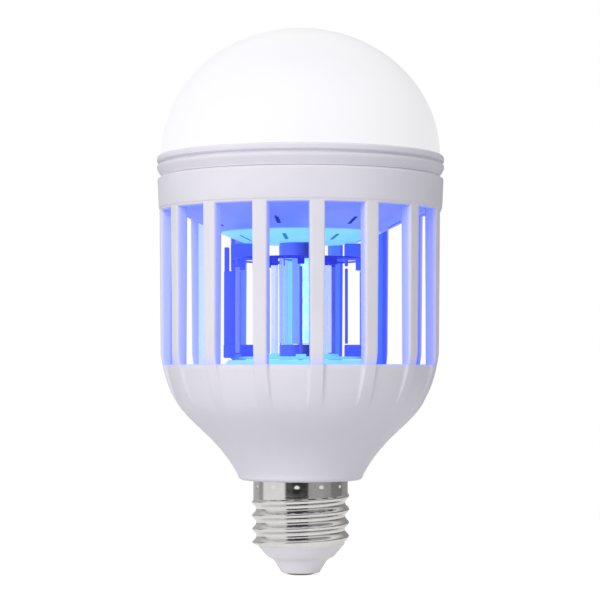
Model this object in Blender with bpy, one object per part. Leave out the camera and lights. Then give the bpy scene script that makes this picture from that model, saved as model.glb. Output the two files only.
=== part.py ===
"""Insect killer light bulb with an E27 screw cap, an open cage with an electric grid, and a lamp dome.

The origin is the middle of the centre contact's lower face, +Z runs up the axis to the top of the dome.
Sizes are in millimetres and become metres when a mesh is made. Angle 0 is +X; rib 12 lies at -Y.
"""

from math import cos, pi, radians, sin, sqrt

import bmesh
import bpy
from mathutils import Matrix, Vector

MM = 0.001
CLEAR = 0.3  # gap between two pieces that touch
CUT_PAST = 4.0  # how far a cutter reaches past the wall it cuts

# Screw cap, E27
CONTACT_R = 4.3
CONTACT_FLAT_SHARE = 0.72  # share of the radius that is flat
CONTACT_THICK = 0.9
CONTACT_STEM_R = 1.8
CONTACT_STEM_LENGTH = 7.6
INSULATOR_START = 0.55  # lowest part of the insulator, above the contact's lower face
INSULATOR_CONE_RISE = 3.45
INSULATOR_STEP = 1.8  # width of the step between the cone and the bowl
INSULATOR_STEP_RISE = 1.0
INSULATOR_BOWL_WIDTH = 2.35
INSULATOR_PLUG = 2.6  # length of the insulator inside the metal shell
CAP_START = 8.0  # lower edge of the metal shell
CAP_THREAD_R = 13.2  # crest radius of the E27 thread
CAP_THREAD_PITCH = 3.63  # seven threads to the inch
CAP_THREAD_DEPTH = 0.8
CAP_THREAD_LENGTH = 12.6
CAP_THREAD_PHASE = 118.0  # degrees, where a crest meets the lower edge
CAP_SKIRT_INSET = 0.1
CAP_SKIRT_R = CAP_THREAD_R - CAP_SKIRT_INSET
CAP_SKIRT_LENGTH = 4.7
CAP_WALL = 0.55
CAP_SEGMENTS = 30
CAP_ROWS_PER_TURN = 6

# Cage body: neck, bowl, ribs and collar in one moulding
NECK_WALL = 1.9
NECK_LENGTH = 9.6  # how far the neck reaches down into the cap
BOWL_FOOT_MARGIN = 3.9  # width of the bowl's flat underside round the cap
BOWL_FOOT_R = CAP_SKIRT_R + BOWL_FOOT_MARGIN
BOWL_FOOT_ROUND = 1.3
BOWL_HEIGHT = 31.2  # underside of the bowl to the window sills
BOWL_WALL = 2.0
BODY_R = 38.0
SHOULDER_RISE = 3.2  # how far above the sills the bowl's curve ends
BODY_FLARE = 0.35  # how much wider the cage is at its top
BODY_TOP_R = BODY_R + BODY_FLARE
WINDOW_HEIGHT = 41.6
RIB_COUNT = 16
RIB_DEPTH = 2.8
RIB_INNER_R = BODY_R - RIB_DEPTH
RIB_TOP_WIDTH = 4.0
RIB_FOOT_WIDTH = 3.55
SCOOP_DEPTH = 0.75  # depth of the hollow panel below each window, at its rib edges
SCOOP_HEIGHT = 11.5
COLLAR_HEIGHT = 9.6
COLLAR_PROUD = 0.25
COLLAR_FLARE = 0.35
COLLAR_R = BODY_TOP_R + COLLAR_PROUD
COLLAR_TOP_R = COLLAR_R + COLLAR_FLARE
COLLAR_WALL = 2.3
COLLAR_STEP_RISE = 0.55  # the collar stands proud from here up
COLLAR_EDGE_RISE = 0.6  # height of the bevel along the collar's top edge
GROOVE_DEPTH = 1.0
SHELF_WIDTH = 2.6  # width of the shelf that the ceiling plate hangs from
SHELF_THICK = 1.6
BODY_SEGMENTS = 48

# Grid rings, which the two plates are sized round
STRIP_R = 18.4  # radius of the outer strips' centres
GRID_SPACING = 5.9  # outer strips to inner rods
HOLDER_MARGIN = 0.6
ROD_R = STRIP_R - GRID_SPACING
HOLDER_R = STRIP_R + HOLDER_MARGIN

# Ceiling plate, a shallow cone that points down
PLATE_THICK = 1.5
PLATE_LAND = 1.2  # flat edge of either plate
PLATE_CREASE_MARGIN = 3.6  # crease outside the strips
PLATE_FLAT_MARGIN = 3.0  # edge of the flat outside the rods
PLATE_CREASE_R = STRIP_R + PLATE_CREASE_MARGIN
PLATE_FLAT_R = ROD_R + PLATE_FLAT_MARGIN
PLATE_OUTER_FALL = 5.8  # rim down to the crease
PLATE_INNER_FALL = 2.6  # crease down to the flat
SLIT_COUNT = 8
SLIT_WIDTH = 1.1
SLIT_LENGTH = 3.6
SLIT_OUTER_MARGIN = 2.2  # start of the outer slits, outside the crease
SLIT_PHASE = 25.2  # degrees, first slit

# Floor plate, seated on a ledge just below the sills
FLOOR_THICK = 1.6
FLOOR_LEDGE_DROP = 1.9
FLOOR_LEDGE_WIDTH = 1.9
FLOOR_RISE = 1.2  # step up to the flat under the grid
FLOOR_STEP_WIDTH = 1.0
FLOOR_FLAT_MARGIN = 0.6
FLOOR_FLAT_R = HOLDER_R + FLOOR_FLAT_MARGIN

# Electric grid: outer strips, inner rods, and the rings that hold them
GRID_COUNT = 8
GRID_PHASE = -73.4  # degrees, first outer strip
STRIP_WIDTH = 2.0
STRIP_THICK = 0.7
ROD_RADIUS = 0.42
HOLDER_BASE = 0.6  # thickness of the disc that the feet stand on
HOLDER_HEIGHT = 3.9
HOLDER_SOCKET_RISE = 0.7
HOLDER_CHAMFER = 0.4
RING_PLATE_THICK = 0.6
RING_BAND = 1.4  # width of each flat ring
RING_DROP = 4.4  # ceiling flat down to the top of the flat rings
BOSS_DROP = 1.7
BOSS_WIDTH = 2.4
SOCKET_DEPTH = 1.1
SOCKET_WIDTH = 2.8
HANGER_COUNT = 2
HANGER_WIDTH = 5.0
HANGER_DROP = 2.5  # below the flat rings
HANGER_ROD_GAP = 0.9  # from a rod's middle to the lower part of a hanger

# Ultraviolet lamp in the middle
POST_WIDTH = 3.4
UV_CHIP_WIDTH = 2.2
UV_CHIP_HEIGHT = 4.4
UV_CHIP_THICK = 0.7
UV_ROWS = 4
SLEEVE_GAP = 6.75  # sleeve to the rods' centres
SLEEVE_R = ROD_R - SLEEVE_GAP
SLEEVE_WALL = 0.8
CEILING_HUB_DROP = 3.9  # ceiling flat down to the sleeve's upper end

# Top ring, white lamp and dome
RING_HEIGHT = 5.1
RING_PROUD = 0.15
RING_R = COLLAR_TOP_R + RING_PROUD
RING_WALL = 0.8
RING_SPIGOT = 1.8
RING_SPIGOT_WALL = 2.2
RING_LEDGE = 2.2
RING_LIP_ROUND = 0.45
GROOVE_HEIGHT = 1.0
GROOVE_DROP = 0.6  # middle of the groove below the dome's seat
RING_BEAD_RISE = 2.0  # where the lower bead is widest
SEAT_DEPTH = 1.2  # how deep the dome sits in the ring
HEAT_PLATE_THICK = 1.5
LED_BOARD_THICK = 1.5
LED_COUNT = 6
LED_SIZE = 5.0
LED_HEIGHT = 1.2
DOME_R = RING_R - RING_WALL - CLEAR
DOME_HEIGHT = 34.7
DOME_WALL = 1.8
LED_BOARD_MARGIN = 6.5
LED_BOARD_R = DOME_R - LED_BOARD_MARGIN
LED_CIRCLE_R = 0.635 * LED_BOARD_R
BOARD_SCREW_CIRCLE_R = 0.863 * LED_BOARD_R
BOARD_SCREW_R = 2.6
BOARD_SCREW_HEIGHT = 1.5

# Driver, in the bowl
DRIVER_BOARD_THICK = 1.6
DRIVER_LEDGE_DROP = 16.4  # sills down to the driver's ledge
DRIVER_LEDGE_WIDTH = 2.2
TRANSFORMER_SIZE = (12.0, 14.0, 10.0)
CAPACITOR_R = 4.0
CAPACITOR_HEIGHT = 10.5
FILM_CAPACITOR_SIZE = (11.0, 5.0, 8.0)
RECTIFIER_SIZE = (6.5, 5.0, 2.5)
LEAD_R = 0.6
LEAD_HOLE_GAP = 0.7
POST_BORE_GAP = 0.55
LEAD_HOLE_R = LEAD_R + LEAD_HOLE_GAP
POST_BORE_R = LEAD_R + POST_BORE_GAP

# Heights that follow from the sizes above
CAP_THREAD_TOP = CAP_START + CAP_THREAD_LENGTH
CAP_TOP = CAP_THREAD_TOP + CAP_SKIRT_LENGTH
CAP_ROOT_R = CAP_THREAD_R - CAP_THREAD_DEPTH
CAP_BORE_R = CAP_ROOT_R - CAP_WALL
SKIRT_BORE_R = CAP_SKIRT_R - CAP_WALL
BOWL_BOTTOM = CAP_TOP + CLEAR
SILL = BOWL_BOTTOM + BOWL_HEIGHT
WINDOW_TOP = SILL + WINDOW_HEIGHT
COLLAR_TOP = WINDOW_TOP + COLLAR_HEIGHT
SHELF_BOTTOM = WINDOW_TOP + PLATE_THICK + CLEAR
SHELF_TOP = SHELF_BOTTOM + SHELF_THICK
SHELF_R = RIB_INNER_R - SHELF_WIDTH
NECK_R = CAP_BORE_R - CLEAR
NECK_COLLAR_R = SKIRT_BORE_R - CLEAR
NECK_BOTTOM = BOWL_BOTTOM - NECK_LENGTH
FLOOR_LEDGE = SILL - FLOOR_LEDGE_DROP
FLOOR_RIM_BOTTOM = FLOOR_LEDGE + CLEAR
FLOOR_R = RIB_INNER_R - CLEAR
FLOOR_FLAT_TOP = FLOOR_RIM_BOTTOM + FLOOR_THICK + FLOOR_RISE
DRIVER_LEDGE = SILL - DRIVER_LEDGE_DROP
DRIVER_TOP = DRIVER_LEDGE + CLEAR + DRIVER_BOARD_THICK
PLATE_R = RIB_INNER_R - CLEAR
PLATE_RIM_TOP = SHELF_BOTTOM - CLEAR
PLATE_RIM_BOTTOM = PLATE_RIM_TOP - PLATE_THICK
PLATE_CREASE = PLATE_RIM_BOTTOM - PLATE_OUTER_FALL
PLATE_FLAT = PLATE_CREASE - PLATE_INNER_FALL
HOLDER_BOTTOM = FLOOR_FLAT_TOP + CLEAR
HOLDER_BASE_TOP = HOLDER_BOTTOM + HOLDER_BASE
HOLDER_TOP = HOLDER_BOTTOM + HOLDER_HEIGHT
SOCKET_TOP = HOLDER_BASE_TOP + HOLDER_SOCKET_RISE
RING_PLATE_TOP = PLATE_FLAT - RING_DROP
RING_PLATE_BOTTOM = RING_PLATE_TOP - RING_PLATE_THICK
BOSS_BOTTOM = RING_PLATE_BOTTOM - BOSS_DROP
HANGER_TOP = PLATE_FLAT - CLEAR
CEILING_HUB_BOTTOM = PLATE_FLAT - CEILING_HUB_DROP
RING_BOTTOM = COLLAR_TOP + CLEAR
RING_TOP = RING_BOTTOM + RING_HEIGHT
SEAT = RING_TOP - SEAT_DEPTH
HEAT_PLATE_BOTTOM = SEAT - HEAT_PLATE_THICK
LED_BOARD_BOTTOM = SEAT + CLEAR
LED_BOARD_TOP = LED_BOARD_BOTTOM + LED_BOARD_THICK
DOME_BOTTOM = SEAT + CLEAR
DOME_EQUATOR = RING_TOP + CLEAR
RING_BORE_R = RING_R - RING_WALL


def clear_scene():
    for old in list(bpy.data.objects):
        bpy.data.objects.remove(old, do_unlink=True)


def principled(name, colour, roughness, metallic=0.0, **sockets):
    """A material with a Principled BSDF."""
    material = bpy.data.materials.new(name)
    material.use_nodes = True
    shader = material.node_tree.nodes["Principled BSDF"]
    shader.inputs["Base Color"].default_value = (*colour, 1.0)
    shader.inputs["Roughness"].default_value = roughness
    shader.inputs["Metallic"].default_value = metallic
    for socket, value in sockets.items():
        shader.inputs[socket.replace("_", " ")].default_value = value
    material.diffuse_color = (*colour, 1.0)
    return material


def at(radius, degrees, z=0.0):
    """The point at a radius and angle round the bulb's axis, in millimetres."""
    return Vector((radius * cos(radians(degrees)), radius * sin(radians(degrees)), z))


def finish_mesh(name, bm, material, smooth_angle=35.0, carrier=None):
    """Turns a bmesh in millimetres into an object in metres."""
    bmesh.ops.recalc_face_normals(bm, faces=bm.faces)
    bmesh.ops.scale(bm, vec=(MM, MM, MM), verts=bm.verts)
    mesh = bpy.data.meshes.new(name)
    bm.to_mesh(mesh)
    bm.free()
    mesh.shade_smooth()
    mesh.set_sharp_from_angle(angle=radians(smooth_angle))
    mesh.materials.append(material)
    piece = bpy.data.objects.new(name, mesh)
    bpy.context.scene.collection.objects.link(piece)
    if carrier:
        piece.parent = carrier
    return piece


def turned(profile, segments):
    """A bmesh turned about the axis from a profile of (radius, height).

    A profile whose two ends lie on the axis stays open there, any other one is closed.
    """
    bm = bmesh.new()
    verts = [bm.verts.new((radius, 0.0, z)) for radius, z in profile]
    edges = [bm.edges.new(pair) for pair in zip(verts, verts[1:])]
    if profile[0][0] > 0.0:
        edges.append(bm.edges.new((verts[-1], verts[0])))
    bmesh.ops.spin(bm, geom=verts + edges, cent=(0, 0, 0), axis=(0, 0, 1), angle=2.0 * pi,
                   steps=segments, use_merge=True, use_duplicate=False)
    bmesh.ops.remove_doubles(bm, verts=bm.verts, dist=0.0005)
    return bm


def add_block(bm, size, matrix):
    """A box of the given size with its centre moved by the matrix."""
    scaled = matrix @ Matrix.Diagonal((*size, 1.0))
    bmesh.ops.create_cube(bm, size=1.0, matrix=scaled)


def add_outline(bm, points, bottom, top):
    """An upright prism over an outline of (x, y)."""
    low = [bm.verts.new((x, y, bottom)) for x, y in points]
    face = bm.faces.new(low)
    lifted = bmesh.ops.extrude_face_region(bm, geom=[face])["geom"]
    rise = [v for v in lifted if isinstance(v, bmesh.types.BMVert)]
    bmesh.ops.translate(bm, vec=(0, 0, top - bottom), verts=rise)


def radial_frame(radius, degrees, z):
    """A matrix with local X pointing out from the axis."""
    return Matrix.Translation(at(radius, degrees, z)) @ Matrix.Rotation(radians(degrees), 4, "Z")


def cutter(name, bm):
    """A hidden object for a Boolean."""
    bmesh.ops.recalc_face_normals(bm, faces=bm.faces)
    bmesh.ops.scale(bm, vec=(MM, MM, MM), verts=bm.verts)
    mesh = bpy.data.meshes.new(name)
    bm.to_mesh(mesh)
    bm.free()
    tool = bpy.data.objects.new(name, mesh)
    bpy.context.scene.collection.objects.link(tool)
    tool.hide_render = True
    tool.display_type = "WIRE"
    return tool


def boolean(piece, tool, operation):
    step = piece.modifiers.new(tool.name, "BOOLEAN")
    step.operation = operation
    step.object = tool
    step.solver = "EXACT"


def arc(centre, radii, start, end, steps):
    """Points of an ellipse's arc, angles in degrees."""
    points = []
    for i in range(steps + 1):
        angle = radians(start + (end - start) * i / steps)
        points.append((centre[0] + radii[0] * cos(angle), centre[1] + radii[1] * sin(angle)))
    return points


def bowl_point(t, inward=0.0):
    """A point on the bowl's S curve, moved in square to the curve."""
    width = BODY_R - BOWL_FOOT_R
    start = BOWL_BOTTOM + BOWL_FOOT_ROUND
    height = SILL + SHOULDER_RISE - start
    ends = (Vector((BOWL_FOOT_R, start)), Vector((BODY_R, start + height)))
    handles = (ends[0] + Vector((0.39 * width, 0.46 * height)), ends[1] - Vector((0.13 * width, 0.6 * height)))
    s = 1.0 - t
    point = s ** 3 * ends[0] + 3 * s * s * t * handles[0] + 3 * s * t * t * handles[1] + t ** 3 * ends[1]
    slope = s * s * (handles[0] - ends[0]) + 2 * s * t * (handles[1] - handles[0]) + t * t * (ends[1] - handles[1])
    slope.normalize()
    return point.x - slope.y * inward, point.y + slope.x * inward


def bowl_t_at_height(z, inward):
    """Where on the curve a height is reached."""
    low, high = 0.0, 1.0
    for _ in range(40):
        middle = 0.5 * (low + high)
        if bowl_point(middle, inward)[1] < z:
            low = middle
        else:
            high = middle
    return low


def bowl_height_at_radius(radius, inward):
    """The height at which the curve has a radius."""
    low, high = 0.0, 1.0
    for _ in range(40):
        middle = 0.5 * (low + high)
        if bowl_point(middle, inward)[0] < radius:
            low = middle
        else:
            high = middle
    return bowl_point(low, inward)[1]


def bowl_points(bottom, top, inward, steps):
    """Points of the curve between two heights, without its ends."""
    first = bowl_t_at_height(bottom, inward)
    last = bowl_t_at_height(top, inward)
    return [bowl_point(first + (last - first) * i / steps, inward) for i in range(1, steps)]


def outer_radius(z):
    """The body's outer radius at a height in the bowl or the cage."""
    if z < SILL + SHOULDER_RISE:
        return bowl_point(bowl_t_at_height(z, 0.0))[0]
    share = (z - SILL - SHOULDER_RISE) / (WINDOW_TOP - SILL - SHOULDER_RISE)
    return BODY_R + (BODY_TOP_R - BODY_R) * share


def rib_width(z):
    share = (z - SILL) / WINDOW_HEIGHT
    return RIB_FOOT_WIDTH + (RIB_TOP_WIDTH - RIB_FOOT_WIDTH) * max(0.0, min(1.0, share))


def ledge_wall(top, ledge_r, floor_z):
    """The inner wall under a ledge: straight down until it meets the bowl's inner curve."""
    meets = max(bowl_height_at_radius(ledge_r, BOWL_WALL), floor_z)
    return [(ledge_r, top), (ledge_r, meets)], meets


def cage_profile():
    """The body's half section, up its outside and down its inside."""
    outside = [
        (NECK_R - NECK_WALL, NECK_BOTTOM),
        (NECK_R, NECK_BOTTOM),
        (NECK_R, CAP_THREAD_TOP - CLEAR),
        (NECK_COLLAR_R, CAP_THREAD_TOP + 2.0 * CLEAR),
        (NECK_COLLAR_R, BOWL_BOTTOM),
    ]
    foot = (BOWL_FOOT_R - BOWL_FOOT_ROUND, BOWL_BOTTOM + BOWL_FOOT_ROUND)
    outside += arc(foot, (BOWL_FOOT_ROUND, BOWL_FOOT_ROUND), -90.0, 0.0, 3)
    outside += bowl_points(foot[1], SILL + SHOULDER_RISE, 0.0, 10)
    outside += [
        (BODY_R, SILL + SHOULDER_RISE),
        (BODY_TOP_R, WINDOW_TOP + COLLAR_STEP_RISE),
        (COLLAR_R, WINDOW_TOP + 1.5 * COLLAR_STEP_RISE),
        (COLLAR_TOP_R, COLLAR_TOP - COLLAR_EDGE_RISE),
        (COLLAR_TOP_R - GROOVE_DEPTH, COLLAR_TOP),
    ]
    bore = COLLAR_TOP_R - COLLAR_WALL
    inside = [
        (bore, COLLAR_TOP),
        (bore, SHELF_TOP),
        (SHELF_R, SHELF_TOP),
        (SHELF_R, SHELF_BOTTOM),
        (RIB_INNER_R, SHELF_BOTTOM),
        (RIB_INNER_R, FLOOR_LEDGE),
    ]
    neck_floor = BOWL_BOTTOM + BOWL_WALL
    wall, meets = ledge_wall(FLOOR_LEDGE, RIB_INNER_R - FLOOR_LEDGE_WIDTH, DRIVER_LEDGE)
    inside += wall
    inside += reversed(bowl_points(DRIVER_LEDGE, meets, BOWL_WALL, 3))
    ledge_outer = bowl_point(bowl_t_at_height(DRIVER_LEDGE, BOWL_WALL), BOWL_WALL)[0]
    inside.append((ledge_outer, DRIVER_LEDGE))
    wall, meets = ledge_wall(DRIVER_LEDGE, ledge_outer - DRIVER_LEDGE_WIDTH, neck_floor)
    inside += wall
    inside += reversed(bowl_points(neck_floor, meets, BOWL_WALL, 3))
    inside.append((bowl_point(bowl_t_at_height(neck_floor, BOWL_WALL), BOWL_WALL)[0], neck_floor))
    inside.append((NECK_R - NECK_WALL, neck_floor))
    return outside + inside, ledge_outer


def window_section():
    """What a window and the hollow panel below it take away, as (radius, height), square to the wall."""
    far = COLLAR_TOP_R + CUT_PAST
    near = RIB_INNER_R - CUT_PAST
    section = [(far, WINDOW_TOP), (near, WINDOW_TOP), (near, SILL)]
    steps = 5
    for i in range(steps + 1):
        z = SILL - SCOOP_HEIGHT * i / steps
        fade = 1.0 - (i / steps) ** 2
        section.append((outer_radius(z) - SCOOP_DEPTH * fade + CLEAR * (1.0 - fade), z))
    section.append((far, SILL - SCOOP_HEIGHT))
    return section


def window_cutter():
    """One wedge for each window. Its sides run along the ribs, so that the ribs are straight slabs."""
    bm = bmesh.new()
    pitch = 360.0 / RIB_COUNT
    section = window_section()
    for rib in range(RIB_COUNT):
        left = []
        right = []
        for radius, z in section:
            half = 0.5 * rib_width(z)
            left.append(bm.verts.new(at(radius, rib * pitch, z) + at(half, rib * pitch + 90.0)))
            right.append(bm.verts.new(at(radius, (rib + 1) * pitch, z) - at(half, (rib + 1) * pitch + 90.0)))
        bm.faces.new(left)
        bm.faces.new(reversed(right))
        for i in range(len(section)):
            j = (i + 1) % len(section)
            bm.faces.new((left[j], left[i], right[i], right[j]))
    bmesh.ops.triangulate(bm, faces=[f for f in bm.faces if len(f.verts) == 4])
    return cutter("window_cutter", bm)


def make_cage_body(material):
    profile, ledge_outer = cage_profile()
    body = finish_mesh("cage_body", turned(profile, BODY_SEGMENTS), material)
    boolean(body, window_cutter(), "DIFFERENCE")
    return body, ledge_outer


def make_ceiling_plate(material, carrier):
    crease_top = PLATE_CREASE + PLATE_THICK
    flat_top = PLATE_FLAT + PLATE_THICK
    hole = LEAD_HOLE_R
    profile = [
        (hole, CEILING_HUB_BOTTOM),
        (SLEEVE_R, CEILING_HUB_BOTTOM),
        (SLEEVE_R, PLATE_FLAT),
        (PLATE_FLAT_R, PLATE_FLAT),
        (PLATE_CREASE_R, PLATE_CREASE),
        (PLATE_R - PLATE_LAND, PLATE_RIM_BOTTOM),
        (PLATE_R, PLATE_RIM_BOTTOM),
        (PLATE_R, PLATE_RIM_TOP),
        (SHELF_R - CLEAR, PLATE_RIM_TOP),
        (PLATE_CREASE_R, crease_top),
        (PLATE_FLAT_R, flat_top),
        (hole, flat_top),
    ]
    plate = finish_mesh("ceiling_plate", turned(profile, 32), material, carrier=carrier)
    bm = bmesh.new()
    tall = PLATE_RIM_TOP - PLATE_FLAT + CUT_PAST
    middle = 0.5 * (PLATE_RIM_TOP + PLATE_FLAT)
    for k in range(SLIT_COUNT):
        degrees = SLIT_PHASE + k * 360.0 / SLIT_COUNT
        for start in (PLATE_CREASE_R + SLIT_OUTER_MARGIN, PLATE_FLAT_R):
            frame = radial_frame(start + 0.5 * SLIT_LENGTH, degrees, middle)
            add_block(bm, (SLIT_LENGTH, SLIT_WIDTH, tall), frame)
    boolean(plate, cutter("slit_cutter", bm), "DIFFERENCE")
    return plate


def make_floor_plate(material, carrier):
    hole = LEAD_HOLE_R
    step_foot = FLOOR_FLAT_R + FLOOR_STEP_WIDTH
    profile = [
        (hole, FLOOR_FLAT_TOP - FLOOR_THICK),
        (FLOOR_FLAT_R, FLOOR_FLAT_TOP - FLOOR_THICK),
        (step_foot, FLOOR_RIM_BOTTOM),
        (FLOOR_R, FLOOR_RIM_BOTTOM),
        (FLOOR_R, FLOOR_RIM_BOTTOM + FLOOR_THICK),
        (step_foot, FLOOR_RIM_BOTTOM + FLOOR_THICK),
        (FLOOR_FLAT_R, FLOOR_FLAT_TOP),
        (hole, FLOOR_FLAT_TOP),
    ]
    return finish_mesh("floor_plate", turned(profile, 32), material, carrier=carrier)


def strip_angle(k):
    return GRID_PHASE + k * 360.0 / GRID_COUNT


def rod_angle(k):
    return strip_angle(k + 0.5)


def hanger_angle(k):
    return rod_angle(1) + k * 360.0 / HANGER_COUNT


def make_lower_holder(material, carrier):
    """A disc with the lamp's hub, a block below each hanger and a socket at each strip and rod."""
    profile = [
        (LEAD_HOLE_R, HOLDER_BOTTOM),
        (HOLDER_R, HOLDER_BOTTOM),
        (HOLDER_R, HOLDER_BASE_TOP),
        (SLEEVE_R, HOLDER_BASE_TOP),
        (SLEEVE_R, HOLDER_TOP - HOLDER_CHAMFER),
        (SLEEVE_R - HOLDER_CHAMFER, HOLDER_TOP),
        (LEAD_HOLE_R, HOLDER_TOP),
    ]
    holder = finish_mesh("grid_lower_holder", turned(profile, 32), material, carrier=carrier)
    bottom = HOLDER_BOTTOM + 0.5 * HOLDER_BASE
    size = (SOCKET_DEPTH, SOCKET_WIDTH, SOCKET_TOP - bottom)
    boolean(holder, grid_blocks("socket_blocks", size, bottom + 0.5 * size[2]), "UNION")
    start, end = hanger_span()
    bm = bmesh.new()
    for k in range(HANGER_COUNT):
        add_block(bm, (end - start, HANGER_WIDTH, HOLDER_TOP - bottom),
                  radial_frame(0.5 * (start + end), hanger_angle(k), 0.5 * (bottom + HOLDER_TOP)))
    boolean(holder, cutter("foot_blocks", bm), "UNION")
    return holder


def grid_blocks(name, size, middle):
    """A block at each strip and each rod."""
    bm = bmesh.new()
    for k in range(GRID_COUNT):
        add_block(bm, size, radial_frame(STRIP_R, strip_angle(k), middle))
        add_block(bm, size, radial_frame(ROD_R, rod_angle(k), middle))
    return cutter(name, bm)


def hanger_span():
    """The inner and outer radii of a hanger and of the block below it."""
    inset = 0.2
    return ROD_R - 0.5 * RING_BAND + inset, STRIP_R + 0.5 * RING_BAND - inset


def make_upper_ring(material, carrier):
    """Two flat rings joined by two hangers, with a boss over each strip and rod."""
    ring = finish_mesh("grid_upper_ring", turned(flat_ring(STRIP_R), 28), material, carrier=carrier)
    inner = cutter("inner_ring", turned(flat_ring(ROD_R), 20))
    start, end = hanger_span()
    low_start = ROD_R + HANGER_ROD_GAP
    middle = 0.5 * (RING_PLATE_BOTTOM + RING_PLATE_TOP)
    bottom = RING_PLATE_BOTTOM - HANGER_DROP
    bm = bmesh.new()
    low_parts = bmesh.new()
    for k in range(HANGER_COUNT):
        add_block(bm, (end - start, HANGER_WIDTH, HANGER_TOP - middle),
                  radial_frame(0.5 * (start + end), hanger_angle(k), 0.5 * (middle + HANGER_TOP)))
        add_block(low_parts, (end - low_start, 0.8 * HANGER_WIDTH, middle + 0.5 - bottom),
                  radial_frame(0.5 * (low_start + end), hanger_angle(k), 0.5 * (bottom + middle + 0.5)))
    hangers = cutter("hanger_blocks", bm)
    low_hangers = cutter("low_hanger_blocks", low_parts)
    size = (RING_BAND - 0.4, BOSS_WIDTH, BOSS_DROP + 0.5 * RING_PLATE_THICK)
    bosses = grid_blocks("boss_blocks", size, BOSS_BOTTOM + 0.5 * size[2])
    for tool in (inner, hangers, low_hangers, bosses):
        boolean(ring, tool, "UNION")
    return ring


def flat_ring(radius):
    half = 0.5 * RING_BAND
    return [
        (radius - half, RING_PLATE_BOTTOM),
        (radius + half, RING_PLATE_BOTTOM),
        (radius + half, RING_PLATE_TOP),
        (radius - half, RING_PLATE_TOP),
    ]


def make_electrodes(strip_material, rod_material, carrier):
    bottom = SOCKET_TOP + CLEAR
    top = BOSS_BOTTOM - CLEAR
    corner = 0.25 * STRIP_THICK
    x, y = 0.5 * STRIP_THICK, 0.5 * STRIP_WIDTH
    section = [(x, -y + corner), (x, y - corner), (x - corner, y), (corner - x, y),
               (-x, y - corner), (-x, corner - y), (corner - x, -y), (x - corner, -y)]
    for k in range(GRID_COUNT):
        bm = bmesh.new()
        add_outline(bm, section, bottom, top)
        strip = finish_mesh(f"electrode_outer_{k + 1}", bm, strip_material, carrier=carrier)
        place(strip, radial_frame(STRIP_R, strip_angle(k), 0.0))
    circle = [(ROD_RADIUS * cos(pi * i / 4), ROD_RADIUS * sin(pi * i / 4)) for i in range(8)]
    for k in range(GRID_COUNT):
        on_block = (k - 1) % (GRID_COUNT // HANGER_COUNT) == 0
        bm = bmesh.new()
        add_outline(bm, circle, HOLDER_TOP + CLEAR if on_block else bottom, top)
        rod = finish_mesh(f"electrode_inner_{k + 1}", bm, rod_material, smooth_angle=50.0, carrier=carrier)
        place(rod, radial_frame(ROD_R, rod_angle(k), 0.0))


def place(piece, matrix):
    """Sets an object's own location and turn from a matrix in millimetres."""
    piece.location = matrix.translation * MM
    piece.rotation_euler = matrix.to_euler()


def make_lamp(post_material, chip_material, sleeve_material, carrier):
    """The ultraviolet lamp: a square post with chips on two opposite sides, in a clear sleeve."""
    bottom = HOLDER_TOP + CLEAR
    top = CEILING_HUB_BOTTOM - CLEAR
    half = 0.5 * POST_WIDTH
    corner = 0.12 * POST_WIDTH
    outline = [(half, corner - half), (half, half - corner), (half - corner, half), (corner - half, half),
               (-half, half - corner), (-half, corner - half), (corner - half, -half), (half - corner, -half)]
    bm = bmesh.new()
    add_outline(bm, outline, bottom, top)
    post = finish_mesh("uv_post", bm, post_material, carrier=carrier)
    place(post, radial_frame(0.0, rod_angle(0), 0.0))
    bm = bmesh.new()
    bmesh.ops.create_cone(bm, cap_ends=True, segments=12, radius1=POST_BORE_R, radius2=POST_BORE_R,
                          depth=top - bottom + CUT_PAST, matrix=Matrix.Translation((0, 0, 0.5 * (top + bottom))))
    boolean(post, cutter("post_bore", bm), "DIFFERENCE")

    span = top - bottom
    number = 0
    for row in range(UV_ROWS):
        z = bottom + span * (row + 0.5) / UV_ROWS
        for turn in (0.0, 180.0):
            number += 1
            bm = bmesh.new()
            x, y = 0.5 * UV_CHIP_THICK, 0.5 * UV_CHIP_WIDTH
            crown = [(-x, -y), (0.2 * x, -y), (x, -0.6 * y), (x, 0.6 * y), (0.2 * x, y), (-x, y)]
            add_outline(bm, crown, -0.5 * UV_CHIP_HEIGHT, 0.5 * UV_CHIP_HEIGHT)
            chip = finish_mesh(f"uv_led_{number}", bm, chip_material, carrier=carrier)
            place(chip, radial_frame(half + CLEAR + x, rod_angle(0) + turn, z))

    profile = [
        (SLEEVE_R - SLEEVE_WALL, bottom),
        (SLEEVE_R, bottom),
        (SLEEVE_R, top),
        (SLEEVE_R - SLEEVE_WALL, top),
    ]
    finish_mesh("lamp_sleeve", turned(profile, 28), sleeve_material, carrier=carrier)


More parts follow.
